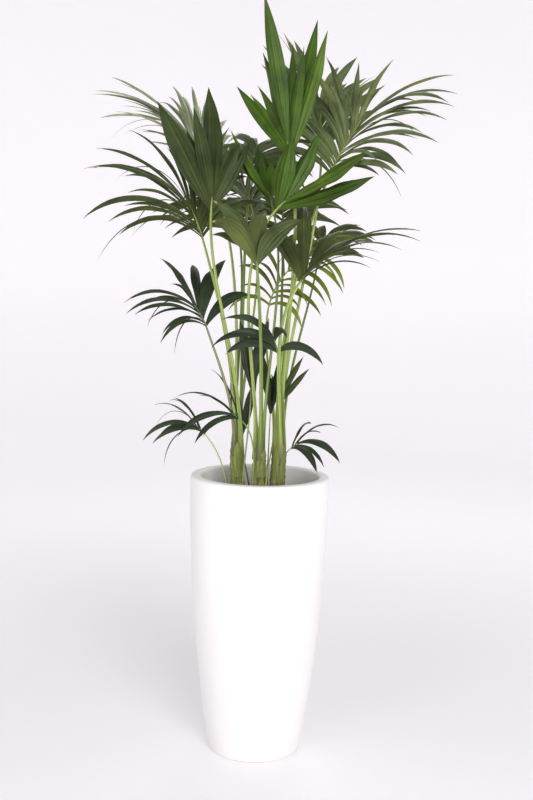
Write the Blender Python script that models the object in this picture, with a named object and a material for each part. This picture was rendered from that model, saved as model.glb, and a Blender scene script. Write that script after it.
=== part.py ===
"""A kentia palm growing in a tall tapered pot.

Several young palms stand together in one pot. Each has a short stem of old leaf bases,
and each frond is a petiole that rises from the stem and a blade that starts at its collar.
A few seedling shoots come straight out of the soil on thin petioles.

Metres, +Z up. The origin is the middle of the pot's flat underside, and the viewer of the
photograph stands at -Y. Headings are degrees in plan: 0 along +X, 90 along +Y, away from
the viewer.
"""

import itertools
import math
import random
from dataclasses import dataclass

import bmesh
import bpy
from mathutils import Quaternion, Vector
from mathutils.bvhtree import BVHTree
from mathutils.geometry import interpolate_bezier

UP = Vector((0.0, 0.0, 1.0))
DOWN = -UP

# The gap that touching pieces keep
GAP = 0.0003

# Edges that turn by more than this are shaded sharp
SHARP_ANGLE = 40.0

# The pot
POT_HEIGHT = 0.700
RIM_RADIUS = 0.174
FOOT_RADIUS = 0.115
BELLY_POWER = 0.85
POT_WALL = 0.026
POT_FLOOR = 0.030
RIM_ROUNDING = 0.007
FOOT_ROUNDING = 0.003
POT_SEGMENTS = 40
POT_RINGS = 8

RING_CROWDING = 1.15

# The soil, clear of the pot's sloping wall
SOIL_LEVEL = 0.622
SOIL_CLEARANCE = 0.0005

# The stems
STEM_SIDES = 8
STEM_RINGS = 4
ROOT_FLARE = 1.22

# The petioles
PETIOLE_SIDES = 5
PETIOLE_STEPS = 7
PETIOLE_RISE = 0.38
PETIOLE_REACH = 0.30
PETIOLE_TIP_SHARE = 0.62
FOOT_RING_RADIUS = 0.0095
FOOT_TURNS = 6
FOOT_LEVELS = 9

# The ribs and leaflets
RIB_HEIGHT_SHARE = 0.75
RIB_TIP_SHARE = 0.45
ROOT_HALF_LENGTH = 0.0045
ROOT_PITCH_SHARE = 0.30
ROOT_START = 1.25
LEAFLET_LINE_STEPS = 24
LEAFLET_STATIONS = (4, 12, 19)
LEAFLET_THICKNESS_SHARE = 0.0105
PEAK_RISE = 1.15
PEAK_FALL = 1.05
LONGEST_AT = 0.50
SHORTER_AT_COLLAR = 0.30
SHORTER_AT_TIP = 0.28
DROOP_POWER = 1.15
LIGHT_PULL = 0.8
STILL_DROOP = 0.2
CLEARANCE = 0.0010
RIB_TEST_STEPS = 8
TRIED_TILTS = (0.0, 6.0, -6.0, 12.0, -12.0, 18.0, -18.0)
TRIED_TWISTS = (0.0, 14.0)
TRIED_SCALES = (1.0, 0.82, 0.65)

# The colours
POT_WHITE = (0.86, 0.85, 0.83)
SOIL_DARK = (0.035, 0.022, 0.014)
STEM_BROWN = (0.20, 0.13, 0.06)
PETIOLE_GREEN = (0.30, 0.40, 0.08)
LEAF_TONES = {
    "bright": (0.085, 0.200, 0.030),
    "olive": (0.060, 0.085, 0.030),
    "deep": (0.045, 0.095, 0.030),
    "dark": (0.030, 0.055, 0.026),
    "grey": (0.085, 0.125, 0.065),
    "pale": (0.150, 0.190, 0.090),
    "yellow": (0.230, 0.290, 0.080),
}

# The finishes, as roughness
POT_FINISH = 0.55
SOIL_FINISH = 0.95
STEM_FINISH = 0.80
PETIOLE_FINISH = 0.45
LEAF_FINISH = 0.40


@dataclass(frozen=True)
class Stem:
    """A palm's short stem: where it stands on the soil, and where its petioles part."""

    name: str
    foot: tuple
    fork: tuple
    radius: float


@dataclass(frozen=True)
class Frond:
    """A frond, from the collar where its blade starts. Lengths in metres, angles in degrees."""

    name: str
    stem: str
    tone: str
    collar: tuple
    heading: float
    rise: float
    rib: float
    arch: float
    pairs: int
    leaflet: float
    width: float
    spread: tuple
    lift: float
    droop: float
    roll: float = 0.0
    twist: float = 12.0
    petiole: float = 0.0095
    uneven: tuple = (0.0, 0.0)
    foot: tuple | None = None


SOIL = "soil"

STEMS = (
    Stem("stem_left", (-0.055, -0.008), (-0.060, -0.010, 0.760), 0.0165),
    Stem("stem_middle", (-0.004, -0.030), (-0.002, -0.034, 0.755), 0.0165),
    Stem("stem_right", (0.042, -0.022), (0.047, -0.024, 0.760), 0.0175),
    Stem("stem_rear_left", (-0.054, 0.050), (-0.060, 0.054, 0.755), 0.0165),
    Stem("stem_rear_right", (0.040, 0.050), (0.045, 0.056, 0.760), 0.0160),
)

FRONDS = (
    # Palm at the right
    Frond("crown_top", "stem_right", "bright", (0.056, -0.020, 1.474),
          140, 77, 0.05, 4, 3, 0.342, 0.038, (32, 2), -4, 4, -85, 8, 0.0105, uneven=(0.12, 0.1)),
    Frond("crown_right", "stem_right", "grey", (0.152, 0.020, 1.441),
          -7, 67, 0.16, 12, 9, 0.28, 0.019, (63, 17), 24, 64, 53, 8, 0.0105, uneven=(0.2, 0.0)),
    Frond("front_right", "stem_right", "deep", (0.080, -0.140, 1.175),
          31, 51, 0.05, 10, 4, 0.305, 0.028, (57, 5), 34, 74, 6, 8, 0.0115, uneven=(0.0, -0.35)),
    Frond("low_right", "stem_right", "dark", (0.036, -0.100, 1.006),
          -115, 66, 0.05, 20, 3, 0.17, 0.024, (62, 20), 10, 90, 0, 26, 0.0080),
    # Palm in the middle
    Frond("middle", "stem_middle", "bright", (0.021, -0.060, 1.348),
          20, 49, 0.04, 10, 3, 0.247, 0.054, (35, 16), 8, 4, 53, 6, 0.0095, uneven=(0.17, 0.0)),
    Frond("front_middle", "stem_middle", "deep", (-0.018, -0.160, 1.208),
          133, 82, 0.035, 10, 3, 0.194, 0.044, (24, 19), -3, 83, -12, 8, 0.0110),
    Frond("inner", "stem_middle", "bright", (0.016, 0.060, 1.366),
          140, 72, 0.05, 10, 3, 0.20, 0.046, (28, 8), 8, 15, 0, 8, 0.0085),
    # Palm at the left
    Frond("left", "stem_left", "deep", (-0.151, -0.050, 1.276),
          178, 73, 0.09, 12, 6, 0.34, 0.017, (54, 12), 12, 70, -40, 8, 0.0095),
    Frond("front_left", "stem_left", "olive", (-0.130, -0.100, 1.336),
          82, 82, 0.04, 12, 3, 0.29, 0.048, (28, 3), 7, 5, -5, 12, 0.0100, uneven=(-0.19, -0.12)),
    Frond("low_left", "stem_left", "dark", (-0.135, -0.080, 1.063),
          180, 70, 0.07, 20, 4, 0.22, 0.021, (56, 16), 12, 78, -40, 8, 0.0085, uneven=(0.0, 0.35)),
    # Palm at the rear left
    Frond("rear_left", "stem_rear_left", "pale", (-0.142, 0.140, 1.453),
          159, 66, 0.14, 18, 7, 0.31, 0.018, (38, 21), 15, 52, -18, 8, 0.0095),
    Frond("rear_top", "stem_rear_left", "grey", (-0.045, 0.160, 1.450),
          75, 75, 0.12, 40, 6, 0.22, 0.026, (58, 22), 8, 80, 0, 26, 0.0095),
    Frond("rear_striped", "stem_rear_left", "grey", (-0.029, 0.180, 1.334),
          150, 78, 0.15, 25, 9, 0.20, 0.017, (60, 22), 10, 60, 0, 25, 0.0080),
    Frond("rear_low", "stem_rear_left", "deep", (-0.070, 0.210, 1.300),
          108, 62, 0.18, 45, 8, 0.26, 0.024, (58, 20), 10, 75, 0, 28, 0.0090),
    # Palm at the rear right
    Frond("rear_right", "stem_rear_right", "grey", (0.135, 0.100, 1.512),
          100, 82, 0.13, 16, 6, 0.25, 0.024, (48, 12), 10, 30, 10, 24, 0.0095),
    Frond("rear_drooping", "stem_rear_right", "deep", (0.139, 0.180, 1.239),
          60, 72, 0.08, 25, 4, 0.17, 0.024, (58, 20), 10, 80, 0, 26, 0.0080),
    Frond("rear_middle", "stem_rear_right", "deep", (0.045, 0.220, 1.330),
          92, 60, 0.18, 45, 8, 0.24, 0.024, (56, 20), 10, 70, 0, 28, 0.0090),
    Frond("yellow_inner", "stem_rear_right", "yellow", (0.010, 0.080, 1.108),
          0, 82, 0.20, 60, 6, 0.18, 0.012, (60, 25), 10, 100, 60, 22, 0.0080),
    # Seedlings that rise from the soil
    Frond("seedling_middle", SOIL, "dark", (-0.027, -0.020, 0.911),
          90, 86, 0.012, 2, 1, 0.20, 0.036, (11, 11), 0, 5, 0, 26, 0.0050, foot=(-0.044, -0.062)),
    Frond("seedling_centre", SOIL, "dark", (0.022, 0.020, 0.846),
          70, 86, 0.012, 2, 1, 0.19, 0.028, (11, 11), 0, 5, 0, 26, 0.0045, foot=(0.018, 0.022)),
    Frond("seedling_left", SOIL, "dark", (-0.048, 0.030, 0.785),
          100, 82, 0.012, 2, 1, 0.15, 0.028, (12, 12), 0, 8, 0, 26, 0.0045, foot=(-0.024, 0.018)),
    Frond("seedling_right", SOIL, "deep", (0.044, 0.030, 0.871),
          60, 80, 0.024, 4, 2, 0.13, 0.018, (40, 16), 5, 20, 0, 24, 0.0045, foot=(0.012, -0.050)),
    Frond("seedling_fan", SOIL, "dark", (-0.050, -0.050, 0.842),
          190, 40, 0.030, 10, 2, 0.18, 0.016, (44, 18), 10, 80, -40, 26, 0.0050, foot=(-0.020, -0.070)),
    Frond("seedling_low", SOIL, "dark", (-0.138, -0.080, 0.812),
          180, 46, 0.030, 10, 2, 0.17, 0.014, (40, 16), 10, 80, -40, 26, 0.0045, foot=(-0.078, -0.052)),
    Frond("seedling_edge", SOIL, "dark", (0.069, -0.070, 0.774),
          -10, 46, 0.035, 10, 2, 0.16, 0.018, (58, 20), 10, 85, 30, 26, 0.0045, foot=(0.050, -0.060)),
)


def heading_vector(degrees):
    angle = math.radians(degrees)
    return Vector((math.cos(angle), math.sin(angle), 0.0))


def pot_radius(height):
    """Outer radius of the pot's bellied side at a height."""
    share = (height / POT_HEIGHT) ** BELLY_POWER
    return FOOT_RADIUS + (RIM_RADIUS - FOOT_RADIUS) * math.sin(share * math.pi / 2)


def rib_frame(frond, share):
    """Point, tangent and upper-side direction of the rib at a share of its length."""
    out = heading_vector(frond.heading)
    hinge = UP.cross(out)
    start = Quaternion(hinge, math.radians(90.0 - frond.rise))
    tangent = start @ UP
    inward = start @ -out
    arch = math.radians(max(frond.arch, 1.0))
    bend = arch * share
    point = Vector(frond.collar) + frond.rib / arch * (
        tangent * math.sin(bend) - inward * (1.0 - math.cos(bend))
    )
    turn = Quaternion(hinge, bend)
    tangent_here = turn @ tangent
    face = Quaternion(tangent_here, math.radians(frond.roll)) @ (turn @ inward)
    return point, tangent_here, face


def length_share(share):
    """How long a leaflet is, beside the longest, at a share of the rib."""
    if share < LONGEST_AT:
        return 1.0 - SHORTER_AT_COLLAR * (1.0 - share / LONGEST_AT) ** 2
    return 1.0 - SHORTER_AT_TIP * ((share - LONGEST_AT) / (1.0 - LONGEST_AT)) ** 2


def width_share(along):
    """How wide a leaflet is, beside its widest, at a share of its length."""
    peak = PEAK_RISE / (PEAK_RISE + PEAK_FALL)
    most = peak**PEAK_RISE * (1.0 - peak) ** PEAK_FALL
    return along**PEAK_RISE * (1.0 - along) ** PEAK_FALL / most


@dataclass(frozen=True)
class Leaflet:
    """Where a leaflet springs from the rib, and its growth angles in radians."""

    share: float
    side: int
    spread: float
    lift: float
    droop: float
    twist: float
    length: float
    width: float


def grown_leaflet(frond, share, side, dice):
    """One leaflet of the rule, with its angles and sizes varied by the dice."""
    opening = frond.spread[0] + (frond.spread[1] - frond.spread[0]) * share
    longer, wider = (1.0 + more * side for more in frond.uneven)
    return Leaflet(
        share=share,
        side=side,
        spread=math.radians(opening + dice.uniform(-4.0, 4.0)),
        lift=math.radians(frond.lift + dice.uniform(-6.0, 6.0)),
        droop=math.radians(frond.droop * dice.uniform(0.8, 1.2)),
        twist=math.radians(frond.twist + dice.uniform(-8.0, 8.0)),
        length=frond.leaflet * longer * length_share(share) * dice.uniform(0.9, 1.05),
        width=frond.width * wider * dice.uniform(0.9, 1.05),
    )


def leaflets_of(frond):
    """The frond's leaflets by its growth rule, in pairs from the collar to the tip."""
    dice = random.Random(frond.name)
    return [
        grown_leaflet(frond, (pair + 0.5) / frond.pairs, side, dice)
        for pair in range(frond.pairs)
        for side in (1, -1)
    ]


def leaflet_line(frond, leaflet, tilt=0.0, twist=0.0, scale=1.0):
    """Points, directions and width directions along a leaflet, from its root to its tip."""
    root, tangent, face = rib_frame(frond, leaflet.share)
    across = tangent.cross(face) * leaflet.side
    outward = across * math.cos(leaflet.lift) + face * math.sin(leaflet.lift)
    direction = tangent * math.cos(leaflet.spread) + outward * math.sin(leaflet.spread)
    breadth = (tangent - direction * tangent.dot(direction)).normalized()
    direction = Quaternion(breadth, math.radians(tilt)) @ direction
    upper_side = direction.cross(breadth) * leaflet.side + UP * LIGHT_PULL
    breadth = upper_side.cross(direction).normalized() * leaflet.side
    turn = (leaflet.twist + math.radians(twist)) * leaflet.side
    breadth = Quaternion(direction, turn) @ breadth
    point = root.copy()
    step = leaflet.length * scale / LEAFLET_LINE_STEPS
    line = [(point.copy(), direction.copy(), breadth.copy())]
    for i in range(LEAFLET_LINE_STEPS):
        before = (i / LEAFLET_LINE_STEPS) ** DROOP_POWER
        after = ((i + 1) / LEAFLET_LINE_STEPS) ** DROOP_POWER
        hinge = direction.cross(DOWN)
        slack = STILL_DROOP + (1.0 - STILL_DROOP) * hinge.length
        if hinge.length > 0.02:
            bend = Quaternion(hinge.normalized(), leaflet.droop * (after - before) * slack)
            direction = bend @ direction
            breadth = bend @ breadth
        point += direction * step
        line.append((point.copy(), direction.copy(), breadth.copy()))
    return line


def petiole_line(frond, foot):
    """Points along a petiole, from its foot to the collar."""
    collar = Vector(frond.collar)
    tangent = rib_frame(frond, 0.0)[1]
    reach = (collar - foot).length
    return interpolate_bezier(
        foot,
        foot + UP * reach * PETIOLE_RISE,
        collar - tangent * reach * PETIOLE_REACH,
        collar,
        PETIOLE_STEPS + 1,
    )


def point_at_height(line, height):
    """The point where a rising line reaches a height."""
    for low, high in zip(line, line[1:]):
        if high.z >= height:
            return low.lerp(high, (height - low.z) / (high.z - low.z))
    return line[-1]


def room_between(lines, lowest):
    """The least distance between rising lines at the same height."""
    top = min(line[-1].z for line in lines)
    room = math.inf
    for level in range(1, FOOT_LEVELS + 1):
        height = lowest + (top - lowest) * level / FOOT_LEVELS
        points = [point_at_height(line, height) for line in lines]
        for a, b in itertools.combinations(points, 2):
            room = min(room, (a - b).length)
    return room


def petiole_feet(stem, fronds):
    """Where each petiole stands on the fork, in the order that parts the petioles best."""
    fork = Vector(stem.fork)
    best = (-math.inf, {})
    for order in itertools.permutations(fronds):
        for turn in range(FOOT_TURNS):
            feet = {}
            for i, frond in enumerate(order):
                angle = (i + turn / FOOT_TURNS) * 2.0 * math.pi / len(order)
                ring = Vector((math.cos(angle), math.sin(angle), 0.0)) * FOOT_RING_RADIUS
                feet[frond.name] = fork + ring + UP * GAP
            lines = [petiole_line(frond, feet[frond.name]) for frond in order]
            room = room_between(lines, fork.z)
            if room > best[0]:
                best = (room, feet)
    return best[1]


def leaflet_ring(frond, leaflet, line, station, margin=0.0):
    """A function that places the corners of the leaflet's section at a station of its line."""
    point, direction, breadth = line[station]
    normal = direction.cross(breadth) * leaflet.side
    half_width = 0.5 * leaflet.width * width_share(station / LEAFLET_LINE_STEPS) + margin
    half_depth = 0.5 * LEAFLET_THICKNESS_SHARE * leaflet.length + margin

    def place(spot):
        return point + breadth * (spot[0] * half_width) + normal * (spot[1] * half_depth)

    return place


def rib_ring(frond, share, margin=0.0):
    """A function that places the corners of the rib's section at a share of its length."""
    point, tangent, face = rib_frame(frond, share)
    across = tangent.cross(face)
    thickness = 0.5 * frond.petiole * PETIOLE_TIP_SHARE * (1.0 - (1.0 - RIB_TIP_SHARE) * share)
    if share == 0.0:
        point = point + tangent * GAP

    def place(spot):
        half_depth = thickness * RIB_HEIGHT_SHARE + margin
        return point + across * (spot[0] * (thickness + margin)) + face * (spot[1] * half_depth)

    return place


def root_half_share(frond):
    """Half of a leaflet's root along the rib, as a share of the rib's length."""
    return min(ROOT_HALF_LENGTH / frond.rib, ROOT_PITCH_SHARE / frond.pairs)


def rib_end(frond):
    """The share at which the rib ends, just past the last pair's roots."""
    return 1.0 - 0.5 / frond.pairs + root_half_share(frond)


def sleeve(rings, tip=None):
    """The surface that joins sections of four corners, and closes at a tip where one is given."""
    square = ((-1.0, -1.0), (1.0, -1.0), (1.0, 1.0), (-1.0, 1.0))
    points = [ring(spot) for ring in rings for spot in square]
    faces = []
    for start in range(0, 4 * len(rings) - 4, 4):
        for i in range(4):
            j = (i + 1) % 4
            faces.append((start + i, start + j, start + 4 + j, start + 4 + i))
    if tip is not None:
        start = len(points) - 4
        points.append(tip)
        faces += [(start + i, start + (i + 1) % 4, len(points) - 1) for i in range(4)]
    return points, faces


def rib_surface(frond, margin):
    """The rib's surface with a margin added, as points and faces."""
    shares = [rib_end(frond) * i / RIB_TEST_STEPS for i in range(RIB_TEST_STEPS + 1)]
    return sleeve([rib_ring(frond, share, margin) for share in shares])


def joined_tree(surfaces):
    """One tree for several surfaces."""
    points = []
    faces = []
    for more_points, more_faces in surfaces:
        shift = len(points)
        points += more_points
        faces += [tuple(i + shift for i in face) for face in more_faces]
    return BVHTree.FromPolygons(points, faces)


def leaflet_surface(frond, leaflet, line):
    """The leaflet's surface with the clearance added, as points and faces."""
    rooted = [
        rib_ring(frond, leaflet.share + end * root_half_share(frond)) for end in (-1.0, 1.0)
    ]

    def root(spot):
        return rooted[0 if spot[0] < 0.0 else 1]((leaflet.side * ROOT_START, spot[1]))

    rings = [root]
    rings += [leaflet_ring(frond, leaflet, line, s, CLEARANCE) for s in LEAFLET_STATIONS]
    tip = line[-1][0] + line[-1][1] * CLEARANCE
    return sleeve(rings, tip)


def fitted_leaflets(frond, obstacles):
    """The leaflets that find room, each with its line, and their surfaces."""
    kept = []
    surfaces = []
    own = [BVHTree.FromPolygons(*rib_surface(frond, 0.0))]
    tries = list(itertools.product(TRIED_SCALES, TRIED_TWISTS, TRIED_TILTS))
    for leaflet in leaflets_of(frond):
        for scale, twist, tilt in tries:
            line = leaflet_line(frond, leaflet, tilt, twist, scale)
            surface = leaflet_surface(frond, leaflet, line)
            tree = BVHTree.FromPolygons(*surface)
            if not any(tree.overlap(other) for other in obstacles + own):
                kept.append((leaflet, line))
                surfaces.append(surface)
                own.append(tree)
                break
    return kept, surfaces


def section_axes(direction, reference):
    """Two axes square to a direction, the first as near to the reference as can be."""
    first = (reference - direction * reference.dot(direction)).normalized()
    return first, direction.cross(first)


def round_ring(point, direction, radius):
    """A function that places the corners of a round section."""
    across, along = section_axes(direction, Vector((1.0, 0.0, 0.0)))

    def place(spot):
        return point + (across * spot[0] + along * spot[1]) * radius

    return place


def grow(bm, face, spots, place):
    """Extrude a face and place its new corners; spots holds each corner's place in its section."""
    corners = list(face.verts)
    fresh = bmesh.ops.extrude_discrete_faces(bm, faces=[face])["faces"][0]
    for old, new in zip(corners, fresh.verts):
        spots[new] = spots[old]
        new.co = place(spots[new])
    return fresh


def limb(rings, sides):
    """A closed limb through round sections."""
    bm = bmesh.new()
    bmesh.ops.create_cone(
        bm, cap_ends=True, segments=sides, radius1=1.0, radius2=1.0, depth=2.0
    )
    spots = {v: (v.co.x, v.co.y) for v in bm.verts}
    face = max(bm.faces, key=lambda f: f.calc_center_median().z)
    for v in bm.verts:
        v.co = rings[1 if v.co.z > 0.0 else 0](spots[v])
    for ring in rings[2:]:
        face = grow(bm, face, spots, ring)
    return bm


def grow_leaflet(bm, flank, spots, leaflet, frond, line):
    """Extrude a leaflet from its root on the rib's flank, out to its pointed tip."""
    for station in LEAFLET_STATIONS:
        flank = grow(bm, flank, spots, leaflet_ring(frond, leaflet, line, station))
    tip = line[-1][0]
    flank = grow(bm, flank, spots, lambda spot: tip)
    bmesh.ops.pointmerge(bm, verts=list(flank.verts), merge_co=tip)


def frond_solid(frond, kept):
    """The frond as one solid: a rib, cut back between the leaflets that stand on it."""
    bm = bmesh.new()
    bmesh.ops.create_cube(bm, size=2.0)
    spots = {v: (v.co.x, v.co.y) for v in bm.verts}
    half = root_half_share(frond)
    face = max(bm.faces, key=lambda f: f.calc_center_median().z)
    first = 0.5 / frond.pairs - half
    for v in bm.verts:
        v.co = rib_ring(frond, first if v.co.z > 0.0 else 0.0)(spots[v])
    for pair in range(frond.pairs):
        share = (pair + 0.5) / frond.pairs
        if pair > 0:
            face = grow(bm, face, spots, rib_ring(frond, share - half))
        face = grow(bm, face, spots, rib_ring(frond, share + half))
        for leaflet, line in kept:
            if leaflet.share == share:
                flank = next(
                    f for f in bm.faces
                    if f != face and any(v in face.verts for v in f.verts)
                    and all(spots[v][0] == leaflet.side for v in f.verts)
                )
                leaf_spots = {
                    v: (1.0 if v in face.verts else -1.0, spots[v][1]) for v in flank.verts
                }
                grow_leaflet(bm, flank, leaf_spots, leaflet, frond, line)
    return bm


def empty_scene():
    for thing in list(bpy.data.objects):
        bpy.data.objects.remove(thing, do_unlink=True)


def plain_material(name, colour, roughness):
    material = bpy.data.materials.new(name)
    material.use_nodes = True
    shader = material.node_tree.nodes["Principled BSDF"]
    shader.inputs["Base Color"].default_value = (*colour, 1.0)
    shader.inputs["Roughness"].default_value = roughness
    shader.inputs["Metallic"].default_value = 0.0
    return material


def add_node(name, bm, colour, roughness):
    """Make the named object of a mesh, its faces turned outwards."""
    bmesh.ops.recalc_face_normals(bm, faces=bm.faces)
    mesh = bpy.data.meshes.new(name)
    bm.to_mesh(mesh)
    bm.free()
    mesh.materials.append(plain_material(name, colour, roughness))
    mesh.shade_smooth()
    mesh.set_sharp_from_angle(angle=math.radians(SHARP_ANGLE))
    node = bpy.data.objects.new(name, mesh)
    bpy.context.collection.objects.link(node)
    return node


def node_surface(node):
    """The points and faces of a finished node."""
    points = [vertex.co.copy() for vertex in node.data.vertices]
    return points, [tuple(face.vertices) for face in node.data.polygons]


def turned_solid(profile):
    """A closed solid turned about the pot's axis from (radius, height) points."""
    bm = bmesh.new()
    chain = [bm.verts.new((radius, 0.0, height)) for radius, height in profile]
    edges = [bm.edges.new(pair) for pair in zip(chain, chain[1:])]
    bmesh.ops.spin(
        bm, geom=chain + edges, axis=UP, cent=(0.0, 0.0, 0.0),
        angle=2.0 * math.pi, steps=POT_SEGMENTS, use_merge=True,
    )
    on_axis = [v for v in bm.verts if math.hypot(v.co.x, v.co.y) < GAP]
    bmesh.ops.remove_doubles(bm, verts=on_axis, dist=GAP)
    return bm


def make_pot():
    outer = [(0.0, 0.0), (FOOT_RADIUS - FOOT_ROUNDING, 0.0)]
    top = POT_HEIGHT - RIM_ROUNDING
    for ring in range(POT_RINGS):
        height = FOOT_ROUNDING + (top - FOOT_ROUNDING) * (ring / (POT_RINGS - 1)) ** RING_CROWDING
        outer.append((pot_radius(height), height))
    lip = RIM_ROUNDING * (1.0 - math.sqrt(0.5))
    rim = [
        (RIM_RADIUS - lip, POT_HEIGHT - lip),
        (RIM_RADIUS - RIM_ROUNDING, POT_HEIGHT),
        (RIM_RADIUS - POT_WALL + RIM_ROUNDING, POT_HEIGHT),
        (RIM_RADIUS - POT_WALL + lip, POT_HEIGHT - lip),
    ]
    inner = [(radius - POT_WALL, height) for radius, height in outer[:1:-1] if height > POT_FLOOR]
    inner += [(pot_radius(POT_FLOOR) - POT_WALL, POT_FLOOR), (0.0, POT_FLOOR)]
    return add_node("pot", turned_solid(outer + rim + inner), POT_WHITE, POT_FINISH)


def make_soil():
    bottom = POT_FLOOR + GAP
    profile = [(0.0, bottom)]
    for ring in range(POT_RINGS):
        height = bottom + (SOIL_LEVEL - bottom) * ring / (POT_RINGS - 1)
        profile.append((pot_radius(height) - POT_WALL - SOIL_CLEARANCE, height))
    profile.append((0.0, SOIL_LEVEL))
    return add_node(SOIL, turned_solid(profile), SOIL_DARK, SOIL_FINISH)


def make_stem(stem):
    """A stem from its flat foot on the soil to its flat fork, flared at the root."""
    foot = Vector((*stem.foot, SOIL_LEVEL + GAP))
    fork = Vector(stem.fork)
    rings = []
    for ring in range(STEM_RINGS + 1):
        share = ring / STEM_RINGS
        radius = stem.radius * (1.0 + (ROOT_FLARE - 1.0) * (1.0 - share) ** 2)
        rings.append(round_ring(foot.lerp(fork, share), UP, radius))
    return add_node(stem.name, limb(rings, STEM_SIDES), STEM_BROWN, STEM_FINISH)


def make_petiole(frond, foot):
    """A petiole that tapers from its foot to the collar, with both ends cut square."""
    line = petiole_line(frond, foot)
    directions = [UP]
    directions += [(b - a).normalized() for a, b in zip(line, line[2:])]
    directions.append(rib_frame(frond, 0.0)[1])
    rings = []
    for i, (point, direction) in enumerate(zip(line, directions)):
        radius = 0.5 * frond.petiole * (1.0 - (1.0 - PETIOLE_TIP_SHARE) * i / PETIOLE_STEPS)
        rings.append(round_ring(point, direction, radius))
    return add_node("petiole_" + frond.name, limb(rings, PETIOLE_SIDES), PETIOLE_GREEN, PETIOLE_FINISH)


def petiole_foot_points():
    """Where every petiole starts: on its stem's fork, or for a seedling on the soil."""
    feet = {}
    for stem in STEMS:
        feet.update(petiole_feet(stem, [f for f in FRONDS if f.stem == stem.name]))
    for frond in FRONDS:
        if frond.stem == SOIL:
            feet[frond.name] = Vector((*frond.foot, SOIL_LEVEL + GAP))
    return feet


def main():
    empty_scene()
    limbs = [make_pot(), make_soil()]
    limbs += [make_stem(stem) for stem in STEMS]
    feet = petiole_foot_points()
    limbs += [make_petiole(frond, feet[frond.name]) for frond in FRONDS]
    obstacles = [joined_tree([node_surface(node) for node in limbs])]
    for frond in FRONDS:
        ribs = joined_tree([rib_surface(other, CLEARANCE) for other in FRONDS if other != frond])
        kept, surfaces = fitted_leaflets(frond, obstacles + [ribs])
        obstacles.append(joined_tree(surfaces))
        solid = frond_solid(frond, kept)
        add_node("frond_" + frond.name, solid, LEAF_TONES[frond.tone], LEAF_FINISH)


if __name__ == "__main__":
    main()
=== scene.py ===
"""A potted kentia palm: the looks of its pot, soil, stems, petioles and fronds.

Metres, +Z up. The origin is the middle of the pot's flat underside, and the camera stands
at -Y. Headings are degrees in plan: 0 along +X, 90 along +Y, away from the camera.
"""

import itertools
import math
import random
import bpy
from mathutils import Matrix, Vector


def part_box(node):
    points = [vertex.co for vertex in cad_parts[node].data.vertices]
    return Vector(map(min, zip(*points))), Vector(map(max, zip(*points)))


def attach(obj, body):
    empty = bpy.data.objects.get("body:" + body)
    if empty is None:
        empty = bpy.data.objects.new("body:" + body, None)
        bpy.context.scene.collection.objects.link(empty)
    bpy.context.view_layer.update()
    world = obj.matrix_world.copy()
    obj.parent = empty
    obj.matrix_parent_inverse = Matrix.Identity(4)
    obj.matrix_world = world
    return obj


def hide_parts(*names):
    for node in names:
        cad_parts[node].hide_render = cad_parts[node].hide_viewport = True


bl_info = {
    "name": "Potted Kentia Palm",
    "version": (1, 0, 0),
    "blender": (4, 5, 0),
    "location": "3D View > Sidebar > Palm",
    "description": "Models a kentia palm with its leaflets, petioles, stems, soil and pot",
    "category": "Object",
}

from dataclasses import dataclass, replace

import bmesh
import bpy
from bpy.props import FloatProperty, FloatVectorProperty, IntProperty, PointerProperty
from mathutils import Euler, Matrix, Quaternion, Vector, noise
from mathutils.bvhtree import BVHTree
from mathutils.geometry import interpolate_bezier

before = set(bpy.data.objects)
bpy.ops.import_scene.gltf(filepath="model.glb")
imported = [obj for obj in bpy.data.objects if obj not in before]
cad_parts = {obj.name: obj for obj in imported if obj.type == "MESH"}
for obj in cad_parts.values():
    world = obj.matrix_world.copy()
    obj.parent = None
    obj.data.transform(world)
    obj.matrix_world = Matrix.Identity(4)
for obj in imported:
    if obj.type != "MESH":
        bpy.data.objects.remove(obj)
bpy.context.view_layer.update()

UP = Vector((0.0, 0.0, 1.0))
DOWN = -UP
TURN = 2.0 * math.pi

# The gap that touching solids keep
GAP = 0.0003

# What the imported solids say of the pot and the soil
POT_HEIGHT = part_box("pot")[1].z
RIM_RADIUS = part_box("pot")[1].x
SOIL_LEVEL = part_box("soil")[1].z

# The pot's form
FOOT_RADIUS = 0.115
BELLY_POWER = 0.85
POT_WALL = 0.026
POT_FLOOR = 0.030
RIM_ROUNDING = 0.007
FOOT_ROUNDING = 0.003
POT_RINGS = 40
RIM_STEPS = 7

# The growth rule of petioles, ribs and leaflets
PETIOLE_RISE = 0.38
PETIOLE_REACH = 0.30
PETIOLE_TIP_SHARE = 0.62
RIB_HEIGHT_SHARE = 0.75
RIB_TIP_SHARE = 0.45
ROOT_HALF_LENGTH = 0.0045
ROOT_PITCH_SHARE = 0.30
ROOT_START = 1.25
LEAFLET_LINE_STEPS = 24
LEAFLET_STATIONS = (4, 12, 19)
LEAFLET_THICKNESS_SHARE = 0.0105
PEAK_RISE = 1.15
PEAK_FALL = 1.05
LONGEST_AT = 0.50
SHORTER_AT_COLLAR = 0.30
SHORTER_AT_TIP = 0.28
DROOP_POWER = 1.15
STILL_DROOP = 0.2
LEAST_HINGE = 0.02
LIGHT_PULL = 0.8
CLEARANCE = 0.0010
RIB_TEST_STEPS = 8
TRIED_TILTS = (0.0, 6.0, -6.0, 12.0, -12.0, 18.0, -18.0)
TRIED_TWISTS = (0.0, 14.0)
TRIED_SCALES = (1.0, 0.82, 0.65)

# How the dice vary a leaflet: angles in degrees, and shares of its droop and size
SPREAD_RANGE = (-4.0, 4.0)
LIFT_RANGE = (-6.0, 6.0)
DROOP_RANGE = (0.8, 1.2)
TWIST_RANGE = (-8.0, 8.0)
SIZE_RANGE = (0.9, 1.05)


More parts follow.
